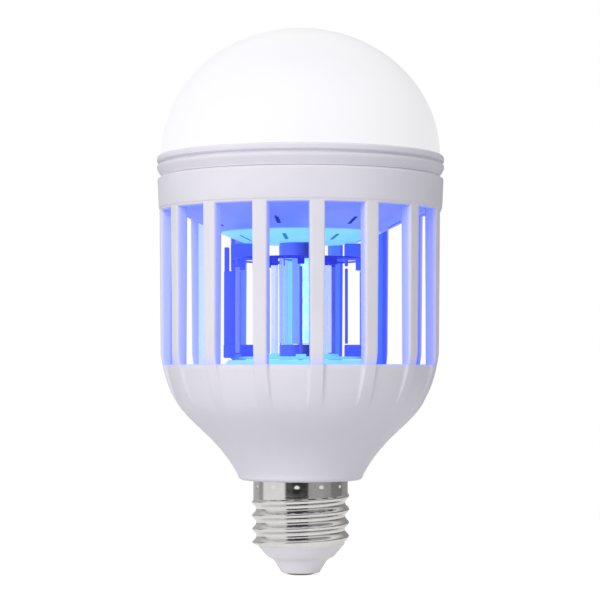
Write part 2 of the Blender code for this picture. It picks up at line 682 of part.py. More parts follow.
def make_top_ring(material, carrier):
    spigot_r = COLLAR_TOP_R - COLLAR_WALL - CLEAR
    groove = SEAT - GROOVE_DROP
    bore = RING_BORE_R - RING_LEDGE
    inner = spigot_r - RING_SPIGOT_WALL
    profile = [
        (inner, RING_BOTTOM - RING_SPIGOT),
        (spigot_r, RING_BOTTOM - RING_SPIGOT),
        (spigot_r, RING_BOTTOM),
        (COLLAR_TOP_R - GROOVE_DEPTH, RING_BOTTOM),
        (RING_R - 0.4 * GROOVE_DEPTH, RING_BOTTOM + 0.5 * RING_BEAD_RISE),
        (RING_R, RING_BOTTOM + RING_BEAD_RISE),
        (RING_R, groove - 0.5 * GROOVE_HEIGHT),
        (RING_R - GROOVE_DEPTH, groove - 0.2 * GROOVE_HEIGHT),
        (RING_R - GROOVE_DEPTH, groove + 0.2 * GROOVE_HEIGHT),
        (RING_R, groove + 0.5 * GROOVE_HEIGHT),
        (RING_R, RING_TOP - RING_LIP_ROUND),
        (RING_R - RING_LIP_ROUND, RING_TOP),
        (RING_BORE_R, RING_TOP),
        (RING_BORE_R, SEAT),
        (bore, SEAT),
        (bore, HEAT_PLATE_BOTTOM - CLEAR),
        (inner, HEAT_PLATE_BOTTOM - CLEAR),
    ]
    return finish_mesh("top_ring", turned(profile, BODY_SEGMENTS), material, carrier=carrier)


def make_white_lamp(plate_material, board_material, chip_material, screw_material, carrier):
    bore = RING_BORE_R - RING_LEDGE
    plate = [
        (LEAD_HOLE_R, HEAT_PLATE_BOTTOM),
        (bore - CLEAR, HEAT_PLATE_BOTTOM),
        (bore - CLEAR, SEAT),
        (LEAD_HOLE_R, SEAT),
    ]
    finish_mesh("heat_plate", turned(plate, 32), plate_material, carrier=carrier)
    board = [
        (LEAD_HOLE_R, LED_BOARD_BOTTOM),
        (LED_BOARD_R, LED_BOARD_BOTTOM),
        (LED_BOARD_R, LED_BOARD_TOP),
        (LEAD_HOLE_R, LED_BOARD_TOP),
    ]
    finish_mesh("led_board", turned(board, 32), board_material, carrier=carrier)
    half = 0.5 * LED_SIZE
    base = LED_BOARD_TOP + CLEAR
    for k in range(LED_COUNT):
        bm = bmesh.new()
        bmesh.ops.create_cone(bm, cap_ends=True, segments=4, radius1=half * sqrt(2.0), radius2=0.86 * half * sqrt(2.0),
                              depth=LED_HEIGHT, matrix=Matrix.Rotation(0.25 * pi, 4, "Z"))
        chip = finish_mesh(f"white_led_{k + 1}", bm, chip_material, carrier=carrier)
        place(chip, radial_frame(LED_CIRCLE_R, 360.0 * k / LED_COUNT, base + 0.5 * LED_HEIGHT))
    head = [
        (0.0, 0.0),
        (BOARD_SCREW_R, 0.0),
        (BOARD_SCREW_R, 0.5 * BOARD_SCREW_HEIGHT),
        (0.6 * BOARD_SCREW_R, BOARD_SCREW_HEIGHT),
        (0.0, BOARD_SCREW_HEIGHT),
    ]
    for k in range(3):
        screw = finish_mesh(f"board_screw_{k + 1}", turned(head, 12), screw_material, carrier=carrier)
        place(screw, radial_frame(BOARD_SCREW_CIRCLE_R, 30.0 + 120.0 * k, base))


def make_dome(material, carrier):
    inner_r = DOME_R - DOME_WALL
    outer = arc((0.0, DOME_EQUATOR), (DOME_R, DOME_HEIGHT), 90.0, 0.0, 9)
    inner = arc((0.0, DOME_EQUATOR), (inner_r, DOME_HEIGHT - DOME_WALL), 0.0, 90.0, 4)
    outer[0] = (0.0, outer[0][1])
    inner[-1] = (0.0, inner[-1][1])
    profile = outer + [(DOME_R, DOME_BOTTOM), (inner_r, DOME_BOTTOM)] + inner
    return finish_mesh("diffuser_dome", turned(profile, 48), material, carrier=carrier)


def thread_radius(degrees, z):
    """The radius of the rolled E27 thread, fading out at both ends."""
    turn = 2.0 * pi * (z - CAP_START) / CAP_THREAD_PITCH - radians(degrees - CAP_THREAD_PHASE)
    wave = 0.5 + 0.5 * cos(turn)
    start = min(1.0, (z - CAP_START) / (0.3 * CAP_THREAD_PITCH))
    end = min(1.0, (CAP_THREAD_TOP - z) / (0.3 * CAP_THREAD_PITCH))
    fade = max(0.0, min(start, end))
    return CAP_ROOT_R + CAP_THREAD_DEPTH * wave * fade


def make_screw_shell(material, carrier):
    """The rolled metal shell: a helical thread below, a plain skirt above, open at both ends."""
    rows = round(CAP_THREAD_LENGTH / CAP_THREAD_PITCH * CAP_ROWS_PER_TURN)
    bm = bmesh.new()
    rings = []
    for row in range(rows + 1):
        z = CAP_START + CAP_THREAD_LENGTH * row / rows
        rings.append([at(thread_radius(360.0 * i / CAP_SEGMENTS, z), 360.0 * i / CAP_SEGMENTS, z)
                      for i in range(CAP_SEGMENTS)])
    plain = [
        (CAP_SKIRT_R, CAP_THREAD_TOP + 0.4),
        (CAP_SKIRT_R, CAP_TOP - 0.2),
        (CAP_SKIRT_R - 0.2, CAP_TOP),
        (SKIRT_BORE_R, CAP_TOP),
        (SKIRT_BORE_R, CAP_THREAD_TOP + 0.5 * CLEAR),
        (CAP_BORE_R, CAP_THREAD_TOP - 2.0 * CLEAR),
        (CAP_BORE_R, CAP_START),
    ]
    for radius, z in plain:
        rings.append([at(radius, 360.0 * i / CAP_SEGMENTS, z) for i in range(CAP_SEGMENTS)])
    loops = [[bm.verts.new(point) for point in ring] for ring in rings]
    for low, high in zip(loops, loops[1:] + loops[:1]):
        for i in range(CAP_SEGMENTS):
            j = (i + 1) % CAP_SEGMENTS
            bm.faces.new((low[i], low[j], high[j], high[i]))
    return finish_mesh("screw_shell", bm, material, smooth_angle=60.0, carrier=carrier)


def make_insulator(material, carrier):
    """The pale insulator, a cone and a shallow bowl, with a plug that fits in the shell."""
    hole = CONTACT_STEM_R + CLEAR
    cone_top = INSULATOR_START + INSULATOR_CONE_RISE
    bowl_start = cone_top + INSULATOR_STEP_RISE
    plug_r = CAP_BORE_R - CLEAR
    bowl_r = plug_r - INSULATOR_BOWL_WIDTH
    cone_r = bowl_r - INSULATOR_STEP
    seat = CONTACT_THICK + CLEAR
    profile = [
        (hole, seat),
        (CONTACT_R + CLEAR, seat),
        (CONTACT_R + CLEAR, INSULATOR_START + 0.2),
        (CONTACT_R + CLEAR + 0.4, INSULATOR_START),
        (cone_r - 0.5, cone_top - 0.7),
        (cone_r, cone_top),
        (bowl_r, bowl_start),
        (plug_r, CAP_START - CLEAR),
        (plug_r, CAP_START + INSULATOR_PLUG),
        (hole, CAP_START + INSULATOR_PLUG),
    ]
    return finish_mesh("cap_insulator", turned(profile, 24), material, carrier=carrier)


def make_contact(material, carrier):
    stem_top = CONTACT_STEM_LENGTH + CONTACT_THICK
    profile = [
        (0.0, 0.0),
        (CONTACT_FLAT_SHARE * CONTACT_R, 0.0),
        (CONTACT_R, 0.5 * CONTACT_THICK),
        (CONTACT_R, CONTACT_THICK),
        (CONTACT_STEM_R, CONTACT_THICK),
        (CONTACT_STEM_R, stem_top),
        (0.0, stem_top),
    ]
    return finish_mesh("centre_contact", turned(profile, 24), material, carrier=carrier)


def make_driver(ledge_outer, board_material, dark_material, can_material, film_material, core_material, carrier):
    """The power supply: a round board on the bowl's ledge with its larger parts."""
    bottom = DRIVER_LEDGE + CLEAR
    board = [
        (LEAD_HOLE_R, bottom),
        (ledge_outer - 2.0 * CLEAR, bottom),
        (ledge_outer - 2.0 * CLEAR, DRIVER_TOP),
        (LEAD_HOLE_R, DRIVER_TOP),
    ]
    finish_mesh("driver_board", turned(board, 32), board_material, carrier=carrier)
    base = DRIVER_TOP + CLEAR
    reach = 0.56 * ledge_outer

    bm = bmesh.new()
    add_block(bm, TRANSFORMER_SIZE, Matrix.Translation((0, 0, 0.5 * TRANSFORMER_SIZE[2])))
    winding = (TRANSFORMER_SIZE[0] + 2.0, 0.62 * TRANSFORMER_SIZE[1], 0.6 * TRANSFORMER_SIZE[2])
    transformer = finish_mesh("transformer", bm, core_material, carrier=carrier)
    place(transformer, radial_frame(0.95 * reach, 40.0, base))
    bm = bmesh.new()
    add_block(bm, winding, Matrix.Translation((0, 0, 0.5 * TRANSFORMER_SIZE[2])))
    coil = cutter("winding_block", bm)
    place(coil, radial_frame(0.95 * reach, 40.0, base))
    boolean(transformer, coil, "UNION")

    lip = 0.35
    can = [
        (0.0, 0.0),
        (CAPACITOR_R, 0.0),
        (CAPACITOR_R, CAPACITOR_HEIGHT - lip),
        (CAPACITOR_R - lip, CAPACITOR_HEIGHT),
        (0.0, CAPACITOR_HEIGHT),
    ]
    for number, degrees in ((1, 130.0), (2, 175.0)):
        capacitor = finish_mesh(f"capacitor_{number}", turned(can, 20), can_material, carrier=carrier)
        place(capacitor, radial_frame(reach, degrees, base))

    bm = bmesh.new()
    add_block(bm, FILM_CAPACITOR_SIZE, Matrix.Translation((0, 0, 0.5 * FILM_CAPACITOR_SIZE[2])))
    bmesh.ops.bevel(bm, geom=bm.edges, offset=0.6, segments=1, affect="EDGES")
    film = finish_mesh("film_capacitor", bm, film_material, carrier=carrier)
    place(film, radial_frame(reach, 235.0, base))

    bm = bmesh.new()
    add_block(bm, RECTIFIER_SIZE, Matrix.Translation((0, 0, 0.5 * RECTIFIER_SIZE[2])))
    bmesh.ops.bevel(bm, geom=bm.edges, offset=0.35, segments=1, affect="EDGES")
    rectifier = finish_mesh("rectifier", bm, dark_material, carrier=carrier)
    place(rectifier, radial_frame(reach, 300.0, base))


def make_lead(name, start, end, material, carrier):
    """A straight insulated lead on the axis."""
    profile = [(0.0, start), (LEAD_R, start), (LEAD_R, end), (0.0, end)]
    return finish_mesh(name, turned(profile, 8), material, smooth_angle=50.0, carrier=carrier)


def main():
    clear_scene()
    white = principled("white_moulding", (0.86, 0.86, 0.89), 0.42)
    lit_white = principled("lit_white_plastic", (0.55, 0.66, 0.98), 0.45)
    lit_cyan = principled("lit_cyan_plastic", (0.52, 0.85, 1.0), 0.45)
    holder_blue = principled("holder_plastic", (0.16, 0.22, 0.75), 0.5)
    steel = principled("grid_steel", (0.62, 0.66, 0.80), 0.3, 1.0)
    nickel = principled("nickel_plate", (0.78, 0.77, 0.74), 0.2, 1.0)
    brass = principled("contact_metal", (0.72, 0.70, 0.66), 0.3, 1.0)
    ceramic = principled("insulator", (0.78, 0.77, 0.80), 0.35)
    opal = principled("opal_diffuser", (0.97, 0.97, 0.98), 0.35)
    clear = principled("clear_sleeve", (0.9, 0.95, 1.0), 0.05, 0.0, Transmission_Weight=1.0)
    uv = principled("uv_chip", (0.35, 0.5, 1.0), 0.3)
    aluminium = principled("aluminium", (0.75, 0.76, 0.78), 0.35, 1.0)
    board_white = principled("board_white", (0.9, 0.9, 0.88), 0.5)
    board_green = principled("board_green", (0.08, 0.28, 0.14), 0.5)
    phosphor = principled("phosphor", (0.95, 0.82, 0.25), 0.4)
    black = principled("black_resin", (0.02, 0.02, 0.02), 0.4)
    can_sleeve = principled("capacitor_sleeve", (0.05, 0.07, 0.16), 0.35)
    film = principled("film_capacitor_red", (0.45, 0.10, 0.06), 0.4)
    yellow = principled("winding_tape", (0.80, 0.62, 0.10), 0.5)
    lead_white = principled("lead_insulation", (0.85, 0.85, 0.85), 0.45)

    body, ledge_outer = make_cage_body(white)
    make_ceiling_plate(lit_white, body)
    make_floor_plate(lit_cyan, body)
    make_lower_holder(holder_blue, body)
    make_upper_ring(holder_blue, body)
    make_electrodes(steel, steel, body)
    make_lamp(aluminium, uv, clear, body)
    make_top_ring(white, body)
    make_white_lamp(aluminium, board_white, phosphor, nickel, body)
    make_dome(opal, body)
    make_screw_shell(nickel, body)
    make_insulator(ceramic, body)
    make_contact(brass, body)
    make_driver(ledge_outer, board_green, black, can_sleeve, film, yellow, body)
    make_lead("led_lead", DRIVER_TOP + CLEAR, HEAT_PLATE_BOTTOM + HEAT_PLATE_THICK, lead_white, body)
    make_lead("cap_lead", CONTACT_THICK + CONTACT_STEM_LENGTH + CLEAR, DRIVER_LEDGE, lead_white, body)


main()
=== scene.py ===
"""Looks of the insect killer light bulb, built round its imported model.

Lengths are in millimetres and become metres when a mesh is made. Heights start at the contact's
lower face, and angles run round the bulb's axis from +X. The lamp in the cage is lit, so its violet
light is part of the materials inside the cage.
"""

from functools import cached_property
from math import asin, atan2, cos, degrees, exp, hypot, pi, radians, sin, sqrt

import bmesh
import bpy
from mathutils import Matrix, Vector


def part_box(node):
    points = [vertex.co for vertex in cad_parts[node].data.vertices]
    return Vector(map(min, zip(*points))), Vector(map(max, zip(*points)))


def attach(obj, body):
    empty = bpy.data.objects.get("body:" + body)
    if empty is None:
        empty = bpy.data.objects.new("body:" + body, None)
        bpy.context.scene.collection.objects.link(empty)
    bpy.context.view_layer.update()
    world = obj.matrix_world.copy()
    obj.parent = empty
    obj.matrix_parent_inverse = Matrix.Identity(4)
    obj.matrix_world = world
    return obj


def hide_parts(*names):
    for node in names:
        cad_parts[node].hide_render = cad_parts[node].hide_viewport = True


MM = 0.001
BODY = "root"
CLEAR = 0.3  # gap between two pieces that touch

# Camera, read from the photograph
CAMERA_ANGLE = -96.5  # degrees round the axis
CAMERA_DISTANCE = 570.0
CAMERA_HEIGHT = 54.5
CAMERA_TILT = 2.0  # degrees upwards
CAMERA_LENS = 125.6
CAMERA_SENSOR = 36.0
AIM_LEFT = 0.14  # the bulb stands this far right of the picture's middle

# Cage body
NECK_R = 11.55
NECK_WALL = 1.9
NECK_COLLAR_R = 12.25
SKIRT_LENGTH = 4.7
BOWL_FOOT_R = 17.0
BOWL_FOOT_ROUND = 1.3
BOWL_WALL = 2.0
COLLAR_STEP_RISE = 0.55
COLLAR_FLARE = 0.35
COLLAR_PROUD = 0.25
BODY_FLARE = 0.35
COLLAR_WALL = 2.3
COLLAR_EDGE_RISE = 0.6
JOINT_DROP = 0.3  # the collar's edge below its solid's, where the photograph has the joint
GROOVE_DEPTH = 1.0
SHOULDER_RISE = 3.2
RIB_COUNT = 16
RIB_PITCH = 360.0 / RIB_COUNT
RIB_DEPTH = 2.8
RIB_TOP_WIDTH = 4.0
RIB_FOOT_WIDTH = 3.55
RIB_ROUND = 0.4
RIB_STEPS = 6
PANEL_STEPS = (0.22, 0.36, 0.5, 0.66, 0.9, 1.3, 2.1, 3.2)  # from a rib's side, then mirrored
SCOOP_DEPTH = 0.75
SCOOP_HEIGHT = 11.5
CREASE_START = -0.2  # the step between a rib and a panel, from the rib's side outwards
CREASE_WIDTH = 0.7
SHELF_WIDTH = 2.6
SHELF_THICK = 1.6
PLATE_THICK = 1.5
FLOOR_THICK = 1.6
FLOOR_LEDGE_DROP = 1.9
LEDGE_WIDTH = 1.9
DRIVER_LEDGE_DROP = 16.4
DRIVER_LEDGE_WIDTH = 2.2

# Plates in the cage
PLATE_LAND = 1.2
CREASE_R = 22.0
CREASE_RISE = 2.6
CEILING_HUB_DROP = 3.9
FLAT_R = 15.5
SLIT_COUNT = 8
SLIT_PHASE = 25.2
SLIT_LENGTH = 3.6
SLIT_WIDTH = 1.1
SLIT_REACH = 2.0  # how far the cutters go past the plate
SLIT_STARTS = (24.2, 15.5)
FLOOR_FLAT_R = 19.6
FLOOR_STEP_WIDTH = 1.0
LEAD_HOLE_R = 1.3
CEILING_EDGE_R = 34.0  # where the plates' colours have changed to those of their edges
FLOOR_EDGE_R = 33.0

# Electric grid
GRID_COUNT = 8
HOLDER_BASE = 0.6
STRIP_WIDTH = 2.0
STRIP_THICK = 0.7
ROD_RADIUS = 0.42
RING_PLATE_THICK = 0.6
RING_BAND = 1.4
BOSS_DROP = 1.4
BOSS_WIDTH = 1.9
SOCKET_DEPTH = 1.1
SOCKET_WIDTH = 2.8
SOCKET_RISE = 0.7
HANGER_WIDTH = 5.0
HANGER_DROP = 2.5
HANGER_ROD_GAP = 2.6
BLOCK_EDGE = 0.25  # rounding of the hangers and pillars
PILLAR_THICK = 1.5  # upright outside each hanger
PILLAR_FOOT_DEPTH = 4.6
PILLAR_DROP = 1.0  # below the hangers' top
SLEEVE_WALL = 0.8
POST_WIDTH = 3.4

# Ring, dome and cap
RING_SPIGOT = 1.8
RING_SPIGOT_WALL = 2.2
RING_LEDGE = 2.2
RING_WALL = 0.8
RING_LIP_ROUND = 0.45
GROOVE_HEIGHT = 1.0
GROOVE_DROP = 0.95
RING_BEAD_RISE = 1.7
SEAT_DEPTH = 1.2
HEAT_PLATE_THICK = 1.5
DOME_WALL = 1.8
CAP_THREAD_R = 13.2
CAP_THREAD_DEPTH = 1.08
CAP_BORE_GAP = 1.35  # thread crest to the shell's bore
CAP_SKIRT_R = 12.82
CAP_TURNS = 3  # full turns below the skirt
CAP_SUNK = 0.2  # how far the shell's end lies under the insulator's rim, inwards and upwards
CAP_RIM_RISE = 0.25  # the skirt's edge reaches up to the bowl
SKIRT_WALL = 0.3
CAP_THREAD_PITCH = 3.63
CAP_THREAD_PHASE = 118.0
CAP_SEGMENTS = 264
CAP_ROWS = 150
DIMPLE_COUNT = 12
DIMPLE_PHASE = -100.8
DIMPLE_DROP = 1.7  # below the cap's upper edge
DIMPLE_DEPTH = 0.12
DIMPLE_SIZE = (0.45, 0.6)  # half width and half height
CONTACT_R = 4.3
CONTACT_THICK = 0.9
CONTACT_STEM_R = 1.8
INSULATOR_CONE_RISE = 3.45
INSULATOR_STEP = 1.8
INSULATOR_STEP_RISE = 1.0
INSULATOR_BOWL_WIDTH = 2.35
INSULATOR_RIM_R = 12.0
INSULATOR_RIM_RISE = 1.2  # rim above the shell's lower end, between the thread's crests

# Colours as the photograph shows them, 0 to 255
MOULDING = (238, 236, 245)
MOULDING_SHADE = (234, 232, 241)
RIB_SIDE_LIGHT = (40, 68, 255)
# painted lamp light on the plates in the cage
FLOOR_EDGE = (78, 108, 250)
FLOOR_CYAN = (128, 205, 240)
CEILING_RIM = (116, 132, 238)
CEILING_OUTER = (104, 130, 244)
CEILING_INNER = (138, 222, 245)
# painted shade in the ceiling's slits
OUTER_SLIT_SHADE = (54, 72, 150)
INNER_SLIT_SHADE = (60, 150, 170)
# painted light and shade on the lamp's hubs, the lit side and the shaded side
HUB_LIT_SIDE = (94, 112, 225)
HUB_SHADED_SIDE = (42, 48, 128)
# painted lamp light on the holder: cyan disc and blue blocks, with dark navy painted shade elsewhere
HOLDER_CYAN = (128, 205, 236)
HOLDER_BLOCK = (80, 98, 216)
HOLDER_SHADE = (46, 52, 178)
# painted lamp light: the sleeve's glow
SLEEVE_LIGHT = (70, 120, 240)
# painted lamp light on the lamp post, and painted shade on its sides without chips
CORE_TOP = (165, 240, 250)
CORE_FOOT = (235, 255, 255)
CORE_SHADED_SIDE = (126, 142, 220)
CHIP_PALE = (225, 250, 255)
CHIP_BLUE = (190, 238, 255)
INSULATOR_SHADE = (246, 244, 250)
INSULATOR_PALE = (252, 251, 255)

# Painted lamp light and shade, by the angle round the axis
# painted lamp light on the rods, one blue all round
ROD_BLUES = ((-180, (60, 75, 190)),)
# painted lamp light and shade on the strips: pale over most of the circle, blue from about 160 to -140
# degrees
STRIP_BLUES = (
    (-180, (105, 125, 245)), (-140, (105, 125, 245)), (-125, (198, 212, 250)), (135, (198, 212, 250)),
    (160, (105, 125, 245)),
)
RIB_SIDE_PAINTED_LIGHT = (  # painted lamp light and shade on the ribs' side faces: pale on most of the circle, deep blue from about 30 to 120 degrees
    (-180, (203, 209, 243)), (0, (203, 209, 243)), (30, (110, 125, 225)), (60, (70, 88, 215)),
    (115, (70, 88, 215)), (130, (215, 232, 252)), (165, (203, 209, 243)),
)
INNER_GLOWS = (  # painted lamp light on the ribs' inner faces, brighter or deeper blue by the angle
    (-180, (80, 105, 240)), (-60, (80, 105, 245)), (30, (70, 100, 245)), (67.5, (80, 115, 250)),
    (90, (150, 195, 255)), (112.5, (95, 115, 250)), (135, (200, 215, 250)), (160, (80, 105, 240)),
)

# Glow: the lamp's light painted onto the pieces in the cage, and the dome's and the chips' own light
RIB_SIDE_GLOW = 0.62
RIB_INNER_GLOW = 0.8
DOME_GLOWS = (0.56, 0.47)  # at the lower edge and at the top
PLATE_GLOW = 0.55
HOLDER_GLOW = 0.42
STRIP_GLOW = 0.5
ROD_GLOW = 0.4
SLEEVE_GLOW = 0.2
CORE_GLOW = 0.75
CHIP_GLOW = 0.9

WHITE = (1.0, 1.0, 1.0)
SWING = (0.3, 0.7)  # the range in which a noise changes most

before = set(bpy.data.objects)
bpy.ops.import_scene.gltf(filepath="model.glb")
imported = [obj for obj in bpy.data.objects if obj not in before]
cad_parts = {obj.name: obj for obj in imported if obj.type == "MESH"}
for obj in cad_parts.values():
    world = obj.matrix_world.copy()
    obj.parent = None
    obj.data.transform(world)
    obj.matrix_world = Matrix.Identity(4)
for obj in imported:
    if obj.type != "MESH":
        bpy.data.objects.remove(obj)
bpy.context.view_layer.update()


def box_mm(node):
    low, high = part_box(node)
    return low / MM, high / MM


body_low, body_high = box_mm("cage_body")
NECK_BOTTOM = body_low.z
COLLAR_TOP = body_high.z - JOINT_DROP
COLLAR_TOP_R = body_high.x
COLLAR_R = COLLAR_TOP_R - COLLAR_FLARE
BODY_TOP_R = COLLAR_R - COLLAR_PROUD
BODY_R = BODY_TOP_R - BODY_FLARE
RIB_INNER_R = BODY_R - RIB_DEPTH
PLATE_R = RIB_INNER_R - CLEAR
SHELF_R = RIB_INNER_R - SHELF_WIDTH
floor_low, floor_high = box_mm("floor_plate")
ceiling_low, ceiling_high = box_mm("ceiling_plate")
SILL = floor_low.z + FLOOR_THICK
WINDOW_TOP = ceiling_high.z - PLATE_THICK
CEILING_FLAT = ceiling_low.z + CEILING_HUB_DROP
SHELF_BOTTOM = ceiling_high.z + CLEAR
FLOOR_LEDGE = SILL - FLOOR_LEDGE_DROP
DRIVER_LEDGE = SILL - DRIVER_LEDGE_DROP
shell_low, shell_high = box_mm("screw_shell")
CAP_START = shell_low.z
CAP_TOP = shell_high.z
CAP_BORE_R = CAP_THREAD_R - CAP_BORE_GAP
SHELL_START = CAP_START + CAP_SUNK
CAP_THREAD_TOP = CAP_TOP - SKIRT_LENGTH
CAP_ROOT_R = CAP_THREAD_R - CAP_THREAD_DEPTH
BOWL_BOTTOM = CAP_TOP + CLEAR


# Meshes

def new_object(name, data):
    item = bpy.data.objects.new(name, data)
    bpy.context.scene.collection.objects.link(item)
    return item


def finish_mesh(name, mesh, material, node, smooth_angle=40.0):
    """Links a mesh given in millimetres as the piece that stands for a solid."""
    mesh.transform(Matrix.Scale(MM, 4))
    mesh.shade_smooth()
    mesh.set_sharp_from_angle(angle=radians(smooth_angle))
    mesh.materials.clear()
    mesh.materials.append(material)
    piece = new_object(name, mesh)
    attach(piece, BODY)
    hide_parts(node)


def finish_turned(name, profile, segments, material, node, smooth_angle=40.0):
    finish_mesh(name, turned(name, profile, segments), material, node, smooth_angle)


def mesh_of(name, verts, faces):
    mesh = bpy.data.meshes.new(name)
    mesh.from_pydata([tuple(v) for v in verts], [], faces)
    bm = bmesh.new()
    bm.from_mesh(mesh)
    bmesh.ops.remove_doubles(bm, verts=bm.verts, dist=0.001)
    bmesh.ops.recalc_face_normals(bm, faces=bm.faces)
    bm.to_mesh(mesh)
    bm.free()
    return mesh


def at(radius, angle, z=0.0):
    """The point at a radius and angle in degrees round the axis."""
    return Vector((radius * cos(radians(angle)), radius * sin(radians(angle)), z))


def arc(centre, radii, start, end, steps):
    """Points of an ellipse's arc, angles in degrees."""
    angles = [radians(start + (end - start) * i / steps) for i in range(steps + 1)]
    return [(centre[0] + radii[0] * cos(a), centre[1] + radii[1] * sin(a)) for a in angles]


def rounded(points, radius, steps=3, closed=True):
    """The outline with each corner turned into a short curve."""
    result = []
    count = len(points)
    for i, point in enumerate(points):
        here = Vector(point)
        before = Vector(points[i - 1]) - here
        after = Vector(points[(i + 1) % count]) - here
        end = not closed and i in (0, count - 1)
        if end or before.angle(after) > radians(165.0):
            result.append(point)
            continue
        reach = min(radius, 0.42 * before.length, 0.42 * after.length)
        start = here + before.normalized() * reach
        stop = here + after.normalized() * reach
        for k in range(steps + 1):
            t = k / steps
            result.append(tuple((1 - t) ** 2 * start + 2 * t * (1 - t) * here + t * t * stop))
    return result


def turned(name, profile, segments):
    """A mesh turned about the axis. A profile that starts and ends on the axis stays open there."""
    verts = []
    for i in range(segments):
        verts += [at(radius, 360.0 * i / segments, z) for radius, z in profile]
    count = len(profile)
    closed = profile[0][0] > 0.0
    faces = []
    for i in range(segments):
        a = i * count
        b = (i + 1) % segments * count
        for j in range(count if closed else count - 1):
            k = (j + 1) % count
            faces.append((a + j, b + j, b + k, a + k))
    return mesh_of(name, verts, faces)


def ring_faces(rows, around, base=0, closed=True, left_out=lambda row, column: False):
    """The faces between rings of points that follow each other."""
    faces = []
    for j in range(rows if closed else rows - 1):
        a, b = base + j * around, base + (j + 1) % rows * around
        for i in range(around):
            n = (i + 1) % around
            if not left_out(j, i):
                faces.append((a + i, a + n, b + n, b + i))
    return faces


def blocks_mesh(name, blocks):
    """A mesh of boxes, each as (radius, angle, depth, width, low, high, rounding of the edges)."""
    bm = bmesh.new()
    for radius, angle, depth, width, low, high, bevel in blocks:
        place = Matrix.Translation(at(radius, angle, 0.5 * (low + high)))
        turn = Matrix.Rotation(radians(angle), 4, "Z")
        size = Matrix.Diagonal((depth, width, high - low, 1.0))
        made = bmesh.ops.create_cube(bm, size=1.0, matrix=place @ turn @ size)["verts"]
        edges = {edge for vert in made for edge in vert.link_edges}
        bmesh.ops.bevel(bm, geom=list(edges), offset=bevel, segments=2, profile=0.5, affect="EDGES")
    mesh = bpy.data.meshes.new(name)
    bm.to_mesh(mesh)
    bm.free()
    return mesh


def side_blocks(name, start, end, width, low, high):
    """A block at each hanger, from one radius to another."""
    return blocks_mesh(name, [(0.5 * (start + end), angle, end - start, width, low, high, BLOCK_EDGE)
                              for angle in HANGERS])


def combined(mesh, tools, operation):
    """The mesh after a Boolean with each tool mesh."""
    base = new_object(mesh.name, mesh)
    used = [base]
    for tool_mesh in tools:
        tool = new_object(tool_mesh.name, tool_mesh)
        step = base.modifiers.new(tool.name, "BOOLEAN")
        step.operation = operation
        step.object = tool
        step.solver = "EXACT"
        used.append(tool)
    bpy.context.view_layer.update()
    graph = bpy.context.evaluated_depsgraph_get()
    result = bpy.data.meshes.new_from_object(base.evaluated_get(graph))
    for item in used:
        bpy.data.objects.remove(item, do_unlink=True)
    return result


# Materials

def linear(colour):
    """A display colour, 0 to 255, as linear values."""
    shares = [c / 255.0 for c in colour]
    return tuple(s / 12.92 if s <= 0.04045 else ((s + 0.055) / 1.055) ** 2.4 for s in shares)


class Tree:
    """The nodes of a material or of the world, with a short call for each kind that is used here."""

    def __init__(self, owner):
        owner.use_nodes = True
        self.nodes = owner.node_tree.nodes
        self.links = owner.node_tree.links

    def set(self, socket, value):
        if isinstance(value, bpy.types.NodeSocket):
            self.links.new(value, socket)
        else:
            socket.default_value = value

    def node(self, kind, inputs, **settings):
        node = self.nodes.new(kind)
        for name, value in settings.items():
            setattr(node, name, value)
        for key, value in inputs.items():
            self.set(node.inputs[key], value)
        return node

    def math(self, operation, *values):
        return self.node("ShaderNodeMath", dict(enumerate(values)), operation=operation).outputs[0]

    def times(self, a, b):
        return self.math("MULTIPLY", a, b)

    def vector(self, operation, *values):
        node = self.node("ShaderNodeVectorMath", dict(enumerate(values)), operation=operation)
        return node.outputs["Value" if operation in ("LENGTH", "DOT_PRODUCT") else "Vector"]

    def split(self, vector):
        return self.node("ShaderNodeSeparateXYZ", {"Vector": vector}).outputs

    def ease(self, value, start, end, low=0.0, high=1.0):
        """A smooth change from low to high while the value goes from start to end."""
        given = {"Value": value, "From Min": start, "From Max": end, "To Min": low, "To Max": high}
        return self.node("ShaderNodeMapRange", given, interpolation_type="SMOOTHSTEP").outputs["Result"]

    def ease_mm(self, value, start, end, low=0.0, high=1.0):
        return self.ease(value, start * MM, end * MM, low, high)

    def mix(self, share, a, b):
        node = self.node("ShaderNodeMix", {0: share}, data_type="RGBA")
        for socket, value in ((node.inputs[6], a), (node.inputs[7], b)):
            self.set(socket, value if isinstance(value, bpy.types.NodeSocket) else (*value, 1.0))
        return node.outputs[2]

    def ramp_round(self, vector, stops):
        """A linear colour that changes with a vector's angle round the axis."""
        x, y, _ = self.split(vector)
        turn = self.math("ARCTAN2", y, x)
        share = self.node("ShaderNodeMapRange", {"Value": turn, "From Min": -pi, "From Max": pi})
        ramp = self.node("ShaderNodeValToRGB", {"Fac": share.outputs["Result"]})
        elements = ramp.color_ramp.elements
        elements.remove(elements[1])
        for i, (angle, colour) in enumerate(stops):
            place = (angle + 180.0) / 360.0
            element = elements[0] if i == 0 else elements.new(place)
            element.position = place
            element.color = (*colour, 1.0)
        return ramp.outputs["Color"]

    def seen_directly(self, rays):
        return self.math("MAXIMUM", rays["Is Camera Ray"], rays["Is Transmission Ray"])


